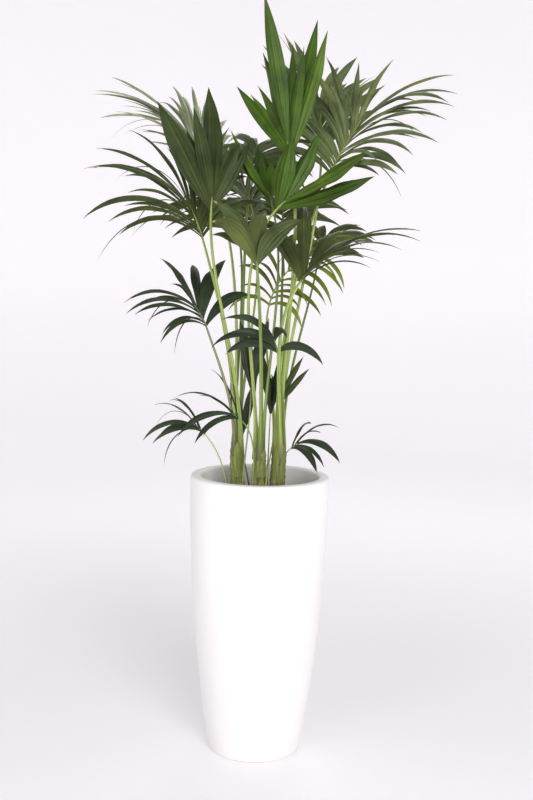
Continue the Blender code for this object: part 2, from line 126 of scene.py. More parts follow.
@dataclass(frozen=True)
class Stem:
    """A palm's short stem: where it stands on the soil, and where its petioles part."""

    name: str
    foot: tuple
    fork: tuple
    radius: float


@dataclass(frozen=True)
class Frond:
    """A frond, from the collar where its blade starts. Lengths in metres, angles in degrees."""

    name: str
    stem: str
    tone: str
    collar: tuple
    heading: float
    rise: float
    rib: float
    arch: float
    pairs: int
    leaflet: float
    width: float
    spread: tuple
    lift: float
    droop: float
    roll: float = 0.0
    twist: float = 12.0
    petiole: float = 0.0095
    uneven: tuple = (0.0, 0.0)


SOIL = "soil"

STEMS = (
    Stem("stem_left", (-0.055, -0.008), (-0.060, -0.010, 0.760), 0.0165),
    Stem("stem_middle", (-0.004, -0.030), (-0.002, -0.034, 0.755), 0.0165),
    Stem("stem_right", (0.042, -0.022), (0.047, -0.024, 0.760), 0.0175),
    Stem("stem_rear_left", (-0.054, 0.050), (-0.060, 0.054, 0.755), 0.0165),
    Stem("stem_rear_right", (0.040, 0.050), (0.045, 0.056, 0.760), 0.0160),
)

FRONDS = (
    # Palm at the right
    Frond("crown_top", "stem_right", "bright", (0.056, -0.020, 1.474),
          140, 77, 0.05, 4, 3, 0.342, 0.038, (32, 2), -4, 4, -85, 8, 0.0105, uneven=(0.12, 0.1)),
    Frond("crown_right", "stem_right", "grey", (0.152, 0.020, 1.441),
          -7, 67, 0.16, 12, 9, 0.28, 0.019, (63, 17), 24, 64, 53, 8, 0.0105, uneven=(0.2, 0.0)),
    Frond("front_right", "stem_right", "deep", (0.080, -0.140, 1.175),
          31, 51, 0.05, 10, 4, 0.305, 0.028, (57, 5), 34, 74, 6, 8, 0.0115, uneven=(0.0, -0.35)),
    Frond("low_right", "stem_right", "dark", (0.036, -0.100, 1.006),
          -115, 66, 0.05, 20, 3, 0.17, 0.024, (62, 20), 10, 90, 0, 26, 0.0080),
    # Palm in the middle
    Frond("middle", "stem_middle", "bright", (0.021, -0.060, 1.348),
          20, 49, 0.04, 10, 3, 0.247, 0.054, (35, 16), 8, 4, 53, 6, 0.0095, uneven=(0.17, 0.0)),
    Frond("front_middle", "stem_middle", "deep", (-0.018, -0.160, 1.208),
          133, 82, 0.035, 10, 3, 0.194, 0.044, (24, 19), -3, 83, -12, 8, 0.0110),
    Frond("inner", "stem_middle", "bright", (0.016, 0.060, 1.366),
          140, 72, 0.05, 10, 3, 0.20, 0.046, (28, 8), 8, 15, 0, 8, 0.0085),
    # Palm at the left
    Frond("left", "stem_left", "deep", (-0.151, -0.050, 1.276),
          178, 73, 0.09, 12, 6, 0.34, 0.017, (54, 12), 12, 70, -40, 8, 0.0095),
    Frond("front_left", "stem_left", "olive", (-0.130, -0.100, 1.336),
          82, 82, 0.04, 12, 3, 0.29, 0.048, (28, 3), 7, 5, -5, 12, 0.0100, uneven=(-0.19, -0.12)),
    Frond("low_left", "stem_left", "dark", (-0.135, -0.080, 1.063),
          180, 70, 0.07, 20, 4, 0.22, 0.021, (56, 16), 12, 78, -40, 8, 0.0085, uneven=(0.0, 0.35)),
    # Palm at the rear left
    Frond("rear_left", "stem_rear_left", "pale", (-0.142, 0.140, 1.453),
          159, 66, 0.14, 18, 7, 0.31, 0.018, (38, 21), 15, 52, -18, 8, 0.0095),
    Frond("rear_top", "stem_rear_left", "grey", (-0.045, 0.160, 1.450),
          75, 75, 0.12, 40, 6, 0.22, 0.026, (58, 22), 8, 80, 0, 26, 0.0095),
    Frond("rear_striped", "stem_rear_left", "grey", (-0.029, 0.180, 1.334),
          150, 78, 0.15, 25, 9, 0.20, 0.017, (60, 22), 10, 60, 0, 25, 0.0080),
    Frond("rear_low", "stem_rear_left", "deep", (-0.070, 0.210, 1.300),
          108, 62, 0.18, 45, 8, 0.26, 0.024, (58, 20), 10, 75, 0, 28, 0.0090),
    # Palm at the rear right
    Frond("rear_right", "stem_rear_right", "grey", (0.135, 0.100, 1.512),
          100, 82, 0.13, 16, 6, 0.25, 0.024, (48, 12), 10, 30, 10, 24, 0.0095),
    Frond("rear_drooping", "stem_rear_right", "deep", (0.139, 0.180, 1.239),
          60, 72, 0.08, 25, 4, 0.17, 0.024, (58, 20), 10, 80, 0, 26, 0.0080),
    Frond("rear_middle", "stem_rear_right", "deep", (0.045, 0.220, 1.330),
          92, 60, 0.18, 45, 8, 0.24, 0.024, (56, 20), 10, 70, 0, 28, 0.0090),
    Frond("yellow_inner", "stem_rear_right", "yellow", (0.010, 0.080, 1.108),
          0, 82, 0.20, 60, 6, 0.18, 0.012, (60, 25), 10, 100, 60, 22, 0.0080),
    # Seedlings that rise from the soil
    Frond("seedling_middle", SOIL, "dark", (-0.027, -0.020, 0.911),
          90, 86, 0.012, 2, 1, 0.20, 0.036, (11, 11), 0, 5, 0, 26, 0.0050),
    Frond("seedling_centre", SOIL, "dark", (0.022, 0.020, 0.846),
          70, 86, 0.012, 2, 1, 0.19, 0.028, (11, 11), 0, 5, 0, 26, 0.0045),
    Frond("seedling_left", SOIL, "dark", (-0.048, 0.030, 0.785),
          100, 82, 0.012, 2, 1, 0.15, 0.028, (12, 12), 0, 8, 0, 26, 0.0045),
    Frond("seedling_right", SOIL, "deep", (0.044, 0.030, 0.871),
          60, 80, 0.024, 4, 2, 0.13, 0.018, (40, 16), 5, 20, 0, 24, 0.0045),
    Frond("seedling_fan", SOIL, "dark", (-0.050, -0.050, 0.842),
          190, 40, 0.030, 10, 2, 0.18, 0.016, (44, 18), 10, 80, -40, 26, 0.0050),
    Frond("seedling_low", SOIL, "dark", (-0.138, -0.080, 0.812),
          180, 46, 0.030, 10, 2, 0.17, 0.014, (40, 16), 10, 80, -40, 26, 0.0045),
    Frond("seedling_edge", SOIL, "dark", (0.069, -0.070, 0.774),
          -10, 46, 0.035, 10, 2, 0.16, 0.018, (58, 20), 10, 85, 30, 26, 0.0045),
)

TONES = ("bright", "olive", "deep", "dark", "grey", "pale", "yellow")

# Petioles darkened with painted shade, being in the shade of other petioles, and those that turn grey
PAINTED_SHADE_PETIOLES = (
    "front_middle", "inner", "rear_top", "rear_low", "rear_middle", "rear_drooping", "seedling_fan",
    "seedling_middle", "low_right",
)
GREY_PETIOLES = ("seedling_edge", "seedling_left", "low_left")

# How many dried threads hang among a frond's leaflets
THREADS = {
    "rear_left": 4, "left": 5, "rear_top": 4, "crown_right": 5, "rear_right": 3, "front_right": 3,
    "low_left": 3, "rear_striped": 3, "seedling_low": 2,
}
THREAD_WIDTH = 0.0030


# The growth rule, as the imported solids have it

def heading_vector(degrees):
    angle = math.radians(degrees)
    return Vector((math.cos(angle), math.sin(angle), 0.0))


def pot_radius(height):
    """Outer radius of the pot's bellied side at a height."""
    share = (height / POT_HEIGHT) ** BELLY_POWER
    return FOOT_RADIUS + (RIM_RADIUS - FOOT_RADIUS) * math.sin(share * math.pi / 2)


def rib_frame(frond, share):
    """Point, tangent and upper-side direction of the rib at a share of its length."""
    out = heading_vector(frond.heading)
    hinge = UP.cross(out)
    start = Quaternion(hinge, math.radians(90.0 - frond.rise))
    tangent = start @ UP
    inward = start @ -out
    arch = math.radians(max(frond.arch, 1.0))
    bend = arch * share
    point = Vector(frond.collar) + frond.rib / arch * (
        tangent * math.sin(bend) - inward * (1.0 - math.cos(bend))
    )
    turn = Quaternion(hinge, bend)
    tangent_here = turn @ tangent
    face = Quaternion(tangent_here, math.radians(frond.roll)) @ (turn @ inward)
    return point, tangent_here, face


def length_share(share):
    """How long a leaflet is, beside the longest, at a share of the rib."""
    if share < LONGEST_AT:
        return 1.0 - SHORTER_AT_COLLAR * (1.0 - share / LONGEST_AT) ** 2
    return 1.0 - SHORTER_AT_TIP * ((share - LONGEST_AT) / (1.0 - LONGEST_AT)) ** 2


def width_share(along, fall=PEAK_FALL):
    """How wide a leaflet is, beside its widest, at a share of its length."""
    peak = PEAK_RISE / (PEAK_RISE + fall)
    most = peak**PEAK_RISE * (1.0 - peak) ** fall
    return along**PEAK_RISE * (1.0 - along) ** fall / most


@dataclass(frozen=True)
class Leaflet:
    """Where a leaflet springs from the rib, and its growth angles in radians."""

    share: float
    side: int
    spread: float
    lift: float
    droop: float
    twist: float
    length: float
    width: float


def grown_leaflet(frond, share, side, dice):
    """One leaflet of the rule, with its angles and sizes varied by the dice."""
    opening = frond.spread[0] + (frond.spread[1] - frond.spread[0]) * share
    longer, wider = (1.0 + more * side for more in frond.uneven)
    return Leaflet(
        share=share,
        side=side,
        spread=math.radians(opening + dice.uniform(*SPREAD_RANGE)),
        lift=math.radians(frond.lift + dice.uniform(*LIFT_RANGE)),
        droop=math.radians(frond.droop * dice.uniform(*DROOP_RANGE)),
        twist=math.radians(frond.twist + dice.uniform(*TWIST_RANGE)),
        length=frond.leaflet * longer * length_share(share) * dice.uniform(*SIZE_RANGE),
        width=frond.width * wider * dice.uniform(*SIZE_RANGE),
    )


def leaflets_of(frond):
    """The frond's leaflets by its growth rule, in pairs from the collar to the tip."""
    dice = random.Random(frond.name)
    return [
        grown_leaflet(frond, (pair + 0.5) / frond.pairs, side, dice)
        for pair in range(frond.pairs)
        for side in (1, -1)
    ]


def leaflet_line(frond, leaflet, tilt=0.0, twist=0.0, scale=1.0):
    """Points, directions and width directions along a leaflet, from its root to its tip."""
    root, tangent, face = rib_frame(frond, leaflet.share)
    across = tangent.cross(face) * leaflet.side
    outward = across * math.cos(leaflet.lift) + face * math.sin(leaflet.lift)
    direction = tangent * math.cos(leaflet.spread) + outward * math.sin(leaflet.spread)
    breadth = (tangent - direction * tangent.dot(direction)).normalized()
    direction = Quaternion(breadth, math.radians(tilt)) @ direction
    upper_side = direction.cross(breadth) * leaflet.side + UP * LIGHT_PULL
    breadth = upper_side.cross(direction).normalized() * leaflet.side
    turn = (leaflet.twist + math.radians(twist)) * leaflet.side
    breadth = Quaternion(direction, turn) @ breadth
    point = root.copy()
    step = leaflet.length * scale / LEAFLET_LINE_STEPS
    line = [(point.copy(), direction.copy(), breadth.copy())]
    for i in range(LEAFLET_LINE_STEPS):
        before = (i / LEAFLET_LINE_STEPS) ** DROOP_POWER
        after = ((i + 1) / LEAFLET_LINE_STEPS) ** DROOP_POWER
        hinge = direction.cross(DOWN)
        slack = STILL_DROOP + (1.0 - STILL_DROOP) * hinge.length
        if hinge.length > LEAST_HINGE:
            bend = Quaternion(hinge.normalized(), leaflet.droop * (after - before) * slack)
            direction = bend @ direction
            breadth = bend @ breadth
        point += direction * step
        line.append((point.copy(), direction.copy(), breadth.copy()))
    return line


def ring_of_corners(point, across, face, half_width, half_depth):
    """A function that places a section's corners, each given as -1 or 1 both ways."""
    return lambda spot: point + across * (spot[0] * half_width) + face * (spot[1] * half_depth)


def leaflet_ring(leaflet, line, station):
    """The leaflet's section, with the clearance added."""
    point, direction, breadth = line[station]
    normal = direction.cross(breadth) * leaflet.side
    half_width = 0.5 * leaflet.width * width_share(station / LEAFLET_LINE_STEPS) + CLEARANCE
    half_depth = 0.5 * LEAFLET_THICKNESS_SHARE * leaflet.length + CLEARANCE
    return ring_of_corners(point, breadth, normal, half_width, half_depth)


def rib_radius(frond, share):
    """Half of the rib's width at a share of its length."""
    return 0.5 * frond.petiole * PETIOLE_TIP_SHARE * (1.0 - (1.0 - RIB_TIP_SHARE) * share)


def rib_ring(frond, share, margin=0.0):
    """The rib's section at a share of its length."""
    point, tangent, face = rib_frame(frond, share)
    radius = rib_radius(frond, share)
    half_depth = radius * RIB_HEIGHT_SHARE + margin
    return ring_of_corners(point, tangent.cross(face), face, radius + margin, half_depth)


def root_half_share(frond):
    """Half of a leaflet's root along the rib, as a share of the rib's length."""
    return min(ROOT_HALF_LENGTH / frond.rib, ROOT_PITCH_SHARE / frond.pairs)


def rib_end(frond):
    """The share at which the rib ends, just past the last pair's roots."""
    return 1.0 - 0.5 / frond.pairs + root_half_share(frond)


def sleeve(rings, tip=None):
    """The surface that joins sections of four corners, and closes at a tip where one is given."""
    square = ((-1.0, -1.0), (1.0, -1.0), (1.0, 1.0), (-1.0, 1.0))
    points = [ring(spot) for ring in rings for spot in square]
    faces = []
    for start in range(0, 4 * len(rings) - 4, 4):
        for i in range(4):
            j = (i + 1) % 4
            faces.append((start + i, start + j, start + 4 + j, start + 4 + i))
    if tip is not None:
        start = len(points) - 4
        points.append(tip)
        faces += [(start + i, start + (i + 1) % 4, len(points) - 1) for i in range(4)]
    return points, faces


def rib_surface(frond, margin):
    """The rib's surface with a margin added, as points and faces."""
    shares = [rib_end(frond) * i / RIB_TEST_STEPS for i in range(RIB_TEST_STEPS + 1)]
    return sleeve([rib_ring(frond, share, margin) for share in shares])


def leaflet_surface(frond, leaflet, line):
    """The leaflet's surface with the clearance added, as points and faces."""
    ends = [rib_ring(frond, leaflet.share + end * root_half_share(frond)) for end in (-1, 1)]

    def root(spot):
        return ends[0 if spot[0] < 0.0 else 1]((leaflet.side * ROOT_START, spot[1]))

    rings = [root] + [leaflet_ring(leaflet, line, station) for station in LEAFLET_STATIONS]
    return sleeve(rings, line[-1][0] + line[-1][1] * CLEARANCE)


def joined_tree(surfaces):
    """One tree for several surfaces."""
    points = []
    faces = []
    for more_points, more_faces in surfaces:
        shift = len(points)
        points += more_points
        faces += [tuple(i + shift for i in face) for face in more_faces]
    return BVHTree.FromPolygons(points, faces)


def fitted_leaflets(frond, obstacles):
    """The leaflets that find room, each with its line, and their surfaces."""
    kept = []
    surfaces = []
    own = [BVHTree.FromPolygons(*rib_surface(frond, 0.0))]
    tries = list(itertools.product(TRIED_SCALES, TRIED_TWISTS, TRIED_TILTS))
    for leaflet in leaflets_of(frond):
        for scale, twist, tilt in tries:
            line = leaflet_line(frond, leaflet, tilt, twist, scale)
            surface = leaflet_surface(frond, leaflet, line)
            tree = BVHTree.FromPolygons(*surface)
            if not any(tree.overlap(other) for other in obstacles + own):
                kept.append((leaflet, line))
                surfaces.append(surface)
                own.append(tree)
                break
    return kept, surfaces


def node_surface(name):
    """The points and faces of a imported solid."""
    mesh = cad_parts[name].data
    points = [vertex.co.copy() for vertex in mesh.vertices]
    return points, [tuple(face.vertices) for face in mesh.polygons]


def petiole_name(frond):
    return "petiole_" + frond.name


def frond_node(frond):
    return "frond_" + frond.name


def petiole_foot(frond):
    """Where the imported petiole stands: the middle of its lowest end."""
    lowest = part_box(petiole_name(frond))[0].z
    points = node_surface(petiole_name(frond))[0]
    end = {tuple(round(c, 6) for c in p) for p in points if p.z < lowest + GAP / 3}
    return sum((Vector(p) for p in end), Vector()) / len(end)


# Sizes and colours that a user would change

def settings_of(kind, **fixed):
    """A function that makes one kind of setting from its name, description and default."""

    def setting(name, description, default, **more):
        return kind(name=name, description=description, default=default, **fixed, **more)

    return setting


length_setting = settings_of(FloatProperty, min=0.0, subtype="DISTANCE", unit="LENGTH")
share_setting = settings_of(FloatProperty, min=0.0, max=1.0, subtype="FACTOR")
angle_setting = settings_of(FloatProperty, subtype="ANGLE")
power_setting = settings_of(FloatProperty, unit="POWER")
ratio_setting = settings_of(FloatProperty, min=0.0)
count_setting = settings_of(IntProperty)
colour_setting = settings_of(FloatVectorProperty, min=0.0, max=1.0, subtype="COLOR")


class PotSettings(bpy.types.PropertyGroup):
    """The matte white pot."""

    colour: colour_setting("Colour", "The pot's matte white", (0.865, 0.85, 0.84))
    shade: colour_setting("Shade", "The white where the coat is thin", (0.84, 0.825, 0.805))
    segments: count_setting("Segments", "Faces round the pot", 144, min=24)


class SoilSettings(bpy.types.PropertyGroup):
    """The soil inside the pot, and the bark chips on it."""

    colour: colour_setting("Colour", "The moist soil", (0.035, 0.022, 0.014))
    dry_colour: colour_setting("Dry colour", "The soil's dry crumbs", (0.110, 0.075, 0.048))
    relief: length_setting("Relief", "How far the soil rises and falls", 0.004)
    chips: count_setting("Chips", "Bark chips that lie on the soil", 260, min=0)
    chip_size: length_setting("Chip size", "Length of a long chip", 0.012)


class StemSettings(bpy.types.PropertyGroup):
    """The short stems of old leaf bases."""

    colour: colour_setting("Colour", "The dry leaf bases", (0.350, 0.270, 0.145))
    dark_colour: colour_setting("Dark colour", "The scars and furrows", (0.120, 0.085, 0.042))
    green_colour: colour_setting("Green colour", "The young sheaths", (0.160, 0.215, 0.045))
    scar_pitch: length_setting("Scar pitch", "Height from one leaf scar to the next", 0.017)
    relief: length_setting("Relief", "How far a leaf base stands out", 0.0016)
    rise: length_setting("Rise", "How far the sheaths reach past the fork", 0.022)


class PetioleSettings(bpy.types.PropertyGroup):
    """The petioles and the ribs that go on from them."""

    colour: colour_setting("Colour", "The yellow-green of a petiole", (0.265, 0.360, 0.062))
    # Pale stripes along the petiole, partly painted highlight
    light_colour: colour_setting("Light colour", "The pale stripes along it", (0.480, 0.545, 0.200))
    edge_colour: colour_setting("Edge colour", "The greener stripes along it", (0.110, 0.190, 0.035))
    # Painted shade: a darker green for the petioles in the shade of others
    deep_colour: colour_setting("Deep colour", "A petiole in the shade of others", (0.135, 0.205, 0.040))
    grey_colour: colour_setting("Grey colour", "A petiole that turns grey", (0.165, 0.175, 0.080))
    groove: share_setting("Groove", "Depth of the channel along the upper side", 0.28)
    sheath: ratio_setting("Sheath", "How much wider the foot is, in the petiole's widths", 1.15)
    sheath_length: length_setting("Sheath length", "Height of the widened foot", 0.130)


class FrondSettings(bpy.types.PropertyGroup):
    """The leaflets."""

    bright: colour_setting("Bright", "Leaflets of the young fronds", (0.041, 0.085, 0.009))
    olive: colour_setting("Olive", "Leaflets of the broad front frond", (0.032, 0.049, 0.014))
    deep: colour_setting("Deep", "Leaflets of the grown fronds", (0.046, 0.066, 0.020))
    dark: colour_setting("Dark", "Leaflets of the low fronds", (0.023, 0.036, 0.019))
    grey: colour_setting("Grey", "Leaflets with a grey bloom", (0.094, 0.130, 0.053))
    pale: colour_setting("Pale", "Leaflets that have faded", (0.180, 0.225, 0.098))
    faded: colour_setting("Faded", "The palest of the faded leaflets", (0.420, 0.460, 0.320))
    yellow: colour_setting("Yellow", "Leaflets that grow in the shade", (0.108, 0.158, 0.018))
    dry: colour_setting("Dry", "Dried leaflet tips", (0.420, 0.330, 0.160))
    thickness: length_setting("Thickness", "Thickness of a leaflet's blade", 0.0005)
    fold: angle_setting("Fold", "Fall of each half from the midrib", math.radians(21.0))
    ripple: share_setting("Ripple", "Height of the waves along the edges", 0.10)
    rows: count_setting("Rows", "Faces along a leaflet", 16, min=6)
    between: share_setting("Between", "Size of the leaflets between the pairs", 0.70)
    dry_share: share_setting("Dry share", "Share of the leaflets with a dried tip", 0.16)


class StageSettings(bpy.types.PropertyGroup):
    """The floor, the lights and the camera."""

    colour: colour_setting("Colour", "The floor and the wall", (0.81, 0.795, 0.81))
    radius: length_setting("Radius", "Distance of the round wall", 7.0)
    key: power_setting("Key", "Power of the key light", 72.0)
    fill: power_setting("Fill", "Power of the fill light and of the rim light", 20.0)
    wall_glow: ratio_setting("Wall glow", "Strength of the far wall's own light", 0.352)
    sky: ratio_setting("Sky", "Strength of the light from all sides", 0.375)


class PalmSettings(bpy.types.PropertyGroup):
    """All the palm's settings."""

    pot: PointerProperty(type=PotSettings)
    soil: PointerProperty(type=SoilSettings)
    stems: PointerProperty(type=StemSettings)
    petioles: PointerProperty(type=PetioleSettings)
    fronds: PointerProperty(type=FrondSettings)
    stage: PointerProperty(type=StageSettings)


# Materials

# A scale that stretches nothing
EVEN = (1.0, 1.0, 1.0)

# Where a mix of colours has its sockets
MIX_FACTOR, MIX_FIRST, MIX_SECOND = 0, 6, 7
MIX_RESULT = 2


class Finish:
    """A material under construction: its nodes, and the shader that they feed."""

    def __init__(self, name, roughness, specular=0.5):
        self.material = bpy.data.materials.new(name)
        self.material.use_nodes = True
        self.tree = self.material.node_tree
        self.shader = self.tree.nodes["Principled BSDF"]
        self.shader.inputs["Roughness"].default_value = roughness
        self.shader.inputs["Specular IOR Level"].default_value = specular
        self.places = self.tree.nodes.new("ShaderNodeTexCoord")

    def add(self, kind, inputs, output=0, **settings):
        """Add a node, set or link its inputs, and give the chosen output."""
        made = self.tree.nodes.new(kind)
        for name, value in settings.items():
            setattr(made, name, value)
        for name, value in inputs.items():
            if isinstance(value, bpy.types.NodeSocket):
                self.tree.links.new(value, made.inputs[name])
            else:
                made.inputs[name].default_value = value
        return made.outputs[output]

    def place(self, kind="Object", scale=EVEN):
        """Object or UV coordinates, stretched by a scale."""
        return self.add("ShaderNodeMapping", {"Vector": self.places.outputs[kind], "Scale": scale})

    def axis(self, kind, letter):
        """Object or UV coordinates along one axis."""
        return self.add("ShaderNodeSeparateXYZ", {"Vector": self.places.outputs[kind]}, letter)

    def noise(self, place, scale, detail=3.0, distortion=0.0):
        values = {"Vector": place, "Scale": scale, "Detail": detail, "Distortion": distortion}
        return self.add("ShaderNodeTexNoise", values)

    def ramp(self, factor, *stops):
        """Colours, or greys given as a number, at their places along a factor."""
        made = self.tree.nodes.new("ShaderNodeValToRGB")
        for place, _ in stops[2:]:
            made.color_ramp.elements.new(place)
        for element, (place, colour) in zip(made.color_ramp.elements, stops):
            red, green, blue = (colour,) * 3 if isinstance(colour, float) else colour
            element.position = place
            element.color = (red, green, blue, 1.0)
        self.tree.links.new(factor, made.inputs["Fac"])
        return made.outputs["Color"]

    def mix(self, factor, first, second):
        """Two colours mixed by a factor. Each may be a socket too."""
        made = self.tree.nodes.new("ShaderNodeMix")
        made.data_type = "RGBA"
        for index, value in ((MIX_FACTOR, factor), (MIX_FIRST, first), (MIX_SECOND, second)):
            if isinstance(value, bpy.types.NodeSocket):
                self.tree.links.new(value, made.inputs[index])
            else:
                made.inputs[index].default_value = value if index == MIX_FACTOR else (*value, 1.0)
        return made.outputs[MIX_RESULT]

    def spread(self, factor, low, high, start=0.0, end=1.0, kind="LINEAR"):
        """A value that goes from low to high while the factor goes from start to end."""
        values = {"Value": factor, "From Min": start, "From Max": end, "To Min": low, "To Max": high}
        return self.add("ShaderNodeMapRange", values, interpolation_type=kind)

    def feed(self, name, socket):
        """Link a socket to an input of the shader."""
        self.tree.links.new(socket, self.shader.inputs[name])

    def colour(self, socket):
        self.feed("Base Color", socket)

    def gloss(self, factor, low, high):
        """Roughness that varies from low to high with a factor."""
        self.feed("Roughness", self.spread(factor, low, high))

    def bump(self, height, distance, strength=1.0, under=None):
        """Relief of a height, laid over earlier relief where there is some."""
        values = {"Height": height, "Distance": distance, "Strength": strength}
        if under is not None:
            values["Normal"] = under
        made = self.add("ShaderNodeBump", values)
        self.feed("Normal", made)
        return made


def shaded(colour, share):
    """A colour made lighter or darker."""
    return tuple(min(1.0, c * share) for c in colour)


def tinted(colour, tint):
    """A colour with each of its parts multiplied."""
    return tuple(c * share for c, share in zip(colour, tint))


def pot_finish(settings):
    """A matte white coat with a faint cloudiness and a fine grain."""
    finish = Finish("pot_matte_white", 0.52, 0.35)
    clouds = finish.noise(finish.place("Object", (1.0, 1.0, 0.6)), 6.0, 4.0)
    finish.colour(finish.ramp(clouds, (0.35, settings.shade), (0.60, settings.colour)))
    grain = finish.noise(finish.place(), 900.0, 2.0)
    finish.gloss(clouds, 0.46, 0.60)
    finish.bump(grain, 0.0002, 0.35)
    return finish.material


def soil_finish(settings):
    """Crumbs in moist and dry patches, darker in the hollows by painted shade and lighter on the tops."""
    finish = Finish("soil_crumbs", 0.95, 0.25)
    place = finish.place()
    crumbs = finish.noise(place, 240.0, 6.0)
    patches = finish.noise(place, 22.0)
    # Painted shade: the hollows of the crumbs, where the bump sinks, go down to half the soil's colour
    moist = finish.ramp(crumbs, (0.35, shaded(settings.colour, 0.5)), (0.62, settings.colour))
    dry = finish.ramp(crumbs, (0.35, settings.colour), (0.65, settings.dry_colour))
    finish.colour(finish.mix(patches, moist, dry))
    finish.bump(crumbs, 0.002, 0.9)
    return finish.material


def chip_finish(settings):
    """Bark chips, from dark brown to weathered tan."""
    finish = Finish("bark_chips", 0.88, 0.3)
    place = finish.place()
    kinds = finish.noise(place, 60.0, 1.0)
    fibres = finish.noise(finish.place("Object", (1.0, 5.0, 2.0)), 160.0, 4.0)
    tan = finish.ramp(
        kinds, (0.35, (0.045, 0.026, 0.015)), (0.50, settings.dry_colour), (0.66, (0.24, 0.17, 0.10))
    )
    grain = finish.ramp(fibres, (0.3, (0.03, 0.02, 0.01)), (0.7, (0.2, 0.14, 0.08)))
    finish.colour(finish.mix(0.45, tan, grain))
    finish.bump(fibres, 0.0008, 0.8)
    return finish.material


# How far below and above the pot's rim the stems turn from brown to green
GREEN_BELOW_RIM = 0.03
GREEN_ABOVE_RIM = 0.06


def stem_finish(settings):
    """Fibrous leaf bases: dark furrows, tan fibres, and green where a sheath is young."""
    finish = Finish("stem_leaf_bases", 0.82, 0.3)
    fibres = finish.noise(finish.place("UV", (46.0, 18.0, 1.0)), 1.0, 5.0, 0.3)
    bands = finish.noise(finish.place("UV", (1.5, 58.0, 1.0)), 1.0, 3.0, 0.4)
    patches = finish.noise(finish.place(), 85.0)
    bark = finish.ramp(
        fibres, (0.30, settings.dark_colour), (0.50, settings.colour),
        (0.70, shaded(settings.colour, 1.9)),
    )
    scars = finish.ramp(bands, (0.40, 1.0), (0.56, 0.0))
    banded = finish.mix(scars, bark, settings.dark_colour)
    sheath = finish.ramp(
        fibres, (0.30, shaded(settings.green_colour, 0.5)), (0.62, shaded(settings.green_colour, 1.25))
    )
    green = finish.mix(0.15, sheath, bark)
    low, high = POT_HEIGHT - GREEN_BELOW_RIM, POT_HEIGHT + GREEN_ABOVE_RIM
    young = finish.spread(finish.axis("Object", "Z"), -0.06, 0.30, low, high)
    young = finish.add("ShaderNodeMath", {0: patches, 1: young}, operation="ADD")
    finish.colour(finish.mix(finish.ramp(young, (0.47, 0.0), (0.54, 1.0)), banded, green))
    finish.gloss(fibres, 0.68, 0.92)
    under = finish.bump(bands, 0.0012, 0.7)
    finish.bump(fibres, 0.0007, 0.8, under)
    return finish.material


def petiole_finish(kind, colour, light, edge, foot):
    """A smooth skin striped along the petiole, its pale stripes partly painted highlight, browner at its
    foot.
    """
    finish = Finish(f"petiole_{kind}_skin", 0.36)
    stripes = finish.noise(finish.place("UV", (9.0, 3.0, 1.0)), 1.0, 3.0, 0.2)
    flecks = finish.noise(finish.place("UV", (30.0, 60.0, 1.0)), 1.0, 4.0)
    # The pale stripes (light) are partly painted highlight along the petiole
    skin = finish.ramp(stripes, (0.30, edge), (0.47, colour), (0.62, light))
    specks = finish.ramp(flecks, (0.60, 0.0), (0.72, 1.0))
    speckled = finish.mix(specks, skin, shaded(edge, 0.8))
    along = finish.axis("UV", "Y")
    base = finish.ramp(along, (0.010, foot), (0.060, shaded(colour, 0.9)))
    fading = finish.ramp(along, (0.030, 1.0), (0.110, 0.0))
    finish.colour(finish.mix(fading, speckled, base))
    finish.gloss(stripes, 0.30, 0.46)
    finish.bump(stripes, 0.0006, 0.5)
    return finish.material


LEAF_SPECULAR = 0.18


def leaf_finish(name, colour, vein, roughness):
    """A leathery blade with fine parallel veins and cloudy patches."""
    finish = Finish(name, roughness, LEAF_SPECULAR)
    clouds = finish.noise(finish.place(), 14.0)
    body = finish.ramp(clouds, (0.33, shaded(colour, 0.52)), (0.66, shaded(colour, 1.36)))
    near_root = finish.ramp(finish.axis("UV", "Y"), (0.04, 0.6), (0.34, 0.0))
    body = finish.mix(near_root, body, vein)
    values = {"Vector": finish.places.outputs["UV"], "Scale": 3.1, "Distortion": 0.4, "Detail": 1.0}
    lines = finish.add("ShaderNodeTexWave", values, "Fac", wave_type="BANDS", bands_direction="X")
    streaks = finish.noise(finish.place("UV", (40.0, 1.6, 1.0)), 1.0, 2.0)
    lined = finish.mix(finish.ramp(lines, (0.55, 0.0), (1.0, 0.34)), body, vein)
    finish.colour(finish.mix(finish.ramp(streaks, (0.45, 0.0), (0.80, 0.4)), lined, vein))
    finish.gloss(clouds, roughness - 0.07, roughness + 0.08)
    finish.bump(lines, 0.0005, 0.4)
    return finish.material


def dry_finish(settings):
    """Dried leaf: tan with darker streaks."""
    finish = Finish("leaf_dried", 0.8, 0.3)
    streaks = finish.noise(finish.place("UV", (24.0, 5.0, 1.0)), 1.0, 4.0)
    finish.colour(finish.ramp(streaks, (0.32, shaded(settings.dry, 0.4)), (0.62, settings.dry)))
    finish.bump(streaks, 0.0005, 0.7)
    return finish.material


# Meshes

def new_mesh():
    """An empty mesh with a UV map."""
    bm = bmesh.new()
    bm.loops.layers.uv.new("UVMap")
    return bm


def finished_mesh(name, bm, materials):
    """A smooth mesh of what was modelled, with its materials."""
    mesh = bpy.data.meshes.new(name)
    bm.to_mesh(mesh)
    bm.free()
    for material in materials:
        mesh.materials.append(material)
    mesh.shade_smooth()
    return mesh


def placed(name, data):
    """A named object in the scene."""
    made = bpy.data.objects.new(name, data)
    bpy.context.scene.collection.objects.link(made)
    return made


def add_piece(name, bm, materials, slot, *nodes, sharp_angle=40.0):
    """Make the named piece of a mesh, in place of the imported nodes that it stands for."""
    bmesh.ops.recalc_face_normals(bm, faces=bm.faces)
    mesh = finished_mesh(name, bm, materials)
    mesh.set_sharp_from_angle(angle=math.radians(sharp_angle))
    piece = placed(name, mesh)
    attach(piece, "root")
    if nodes:
        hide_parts(*nodes)


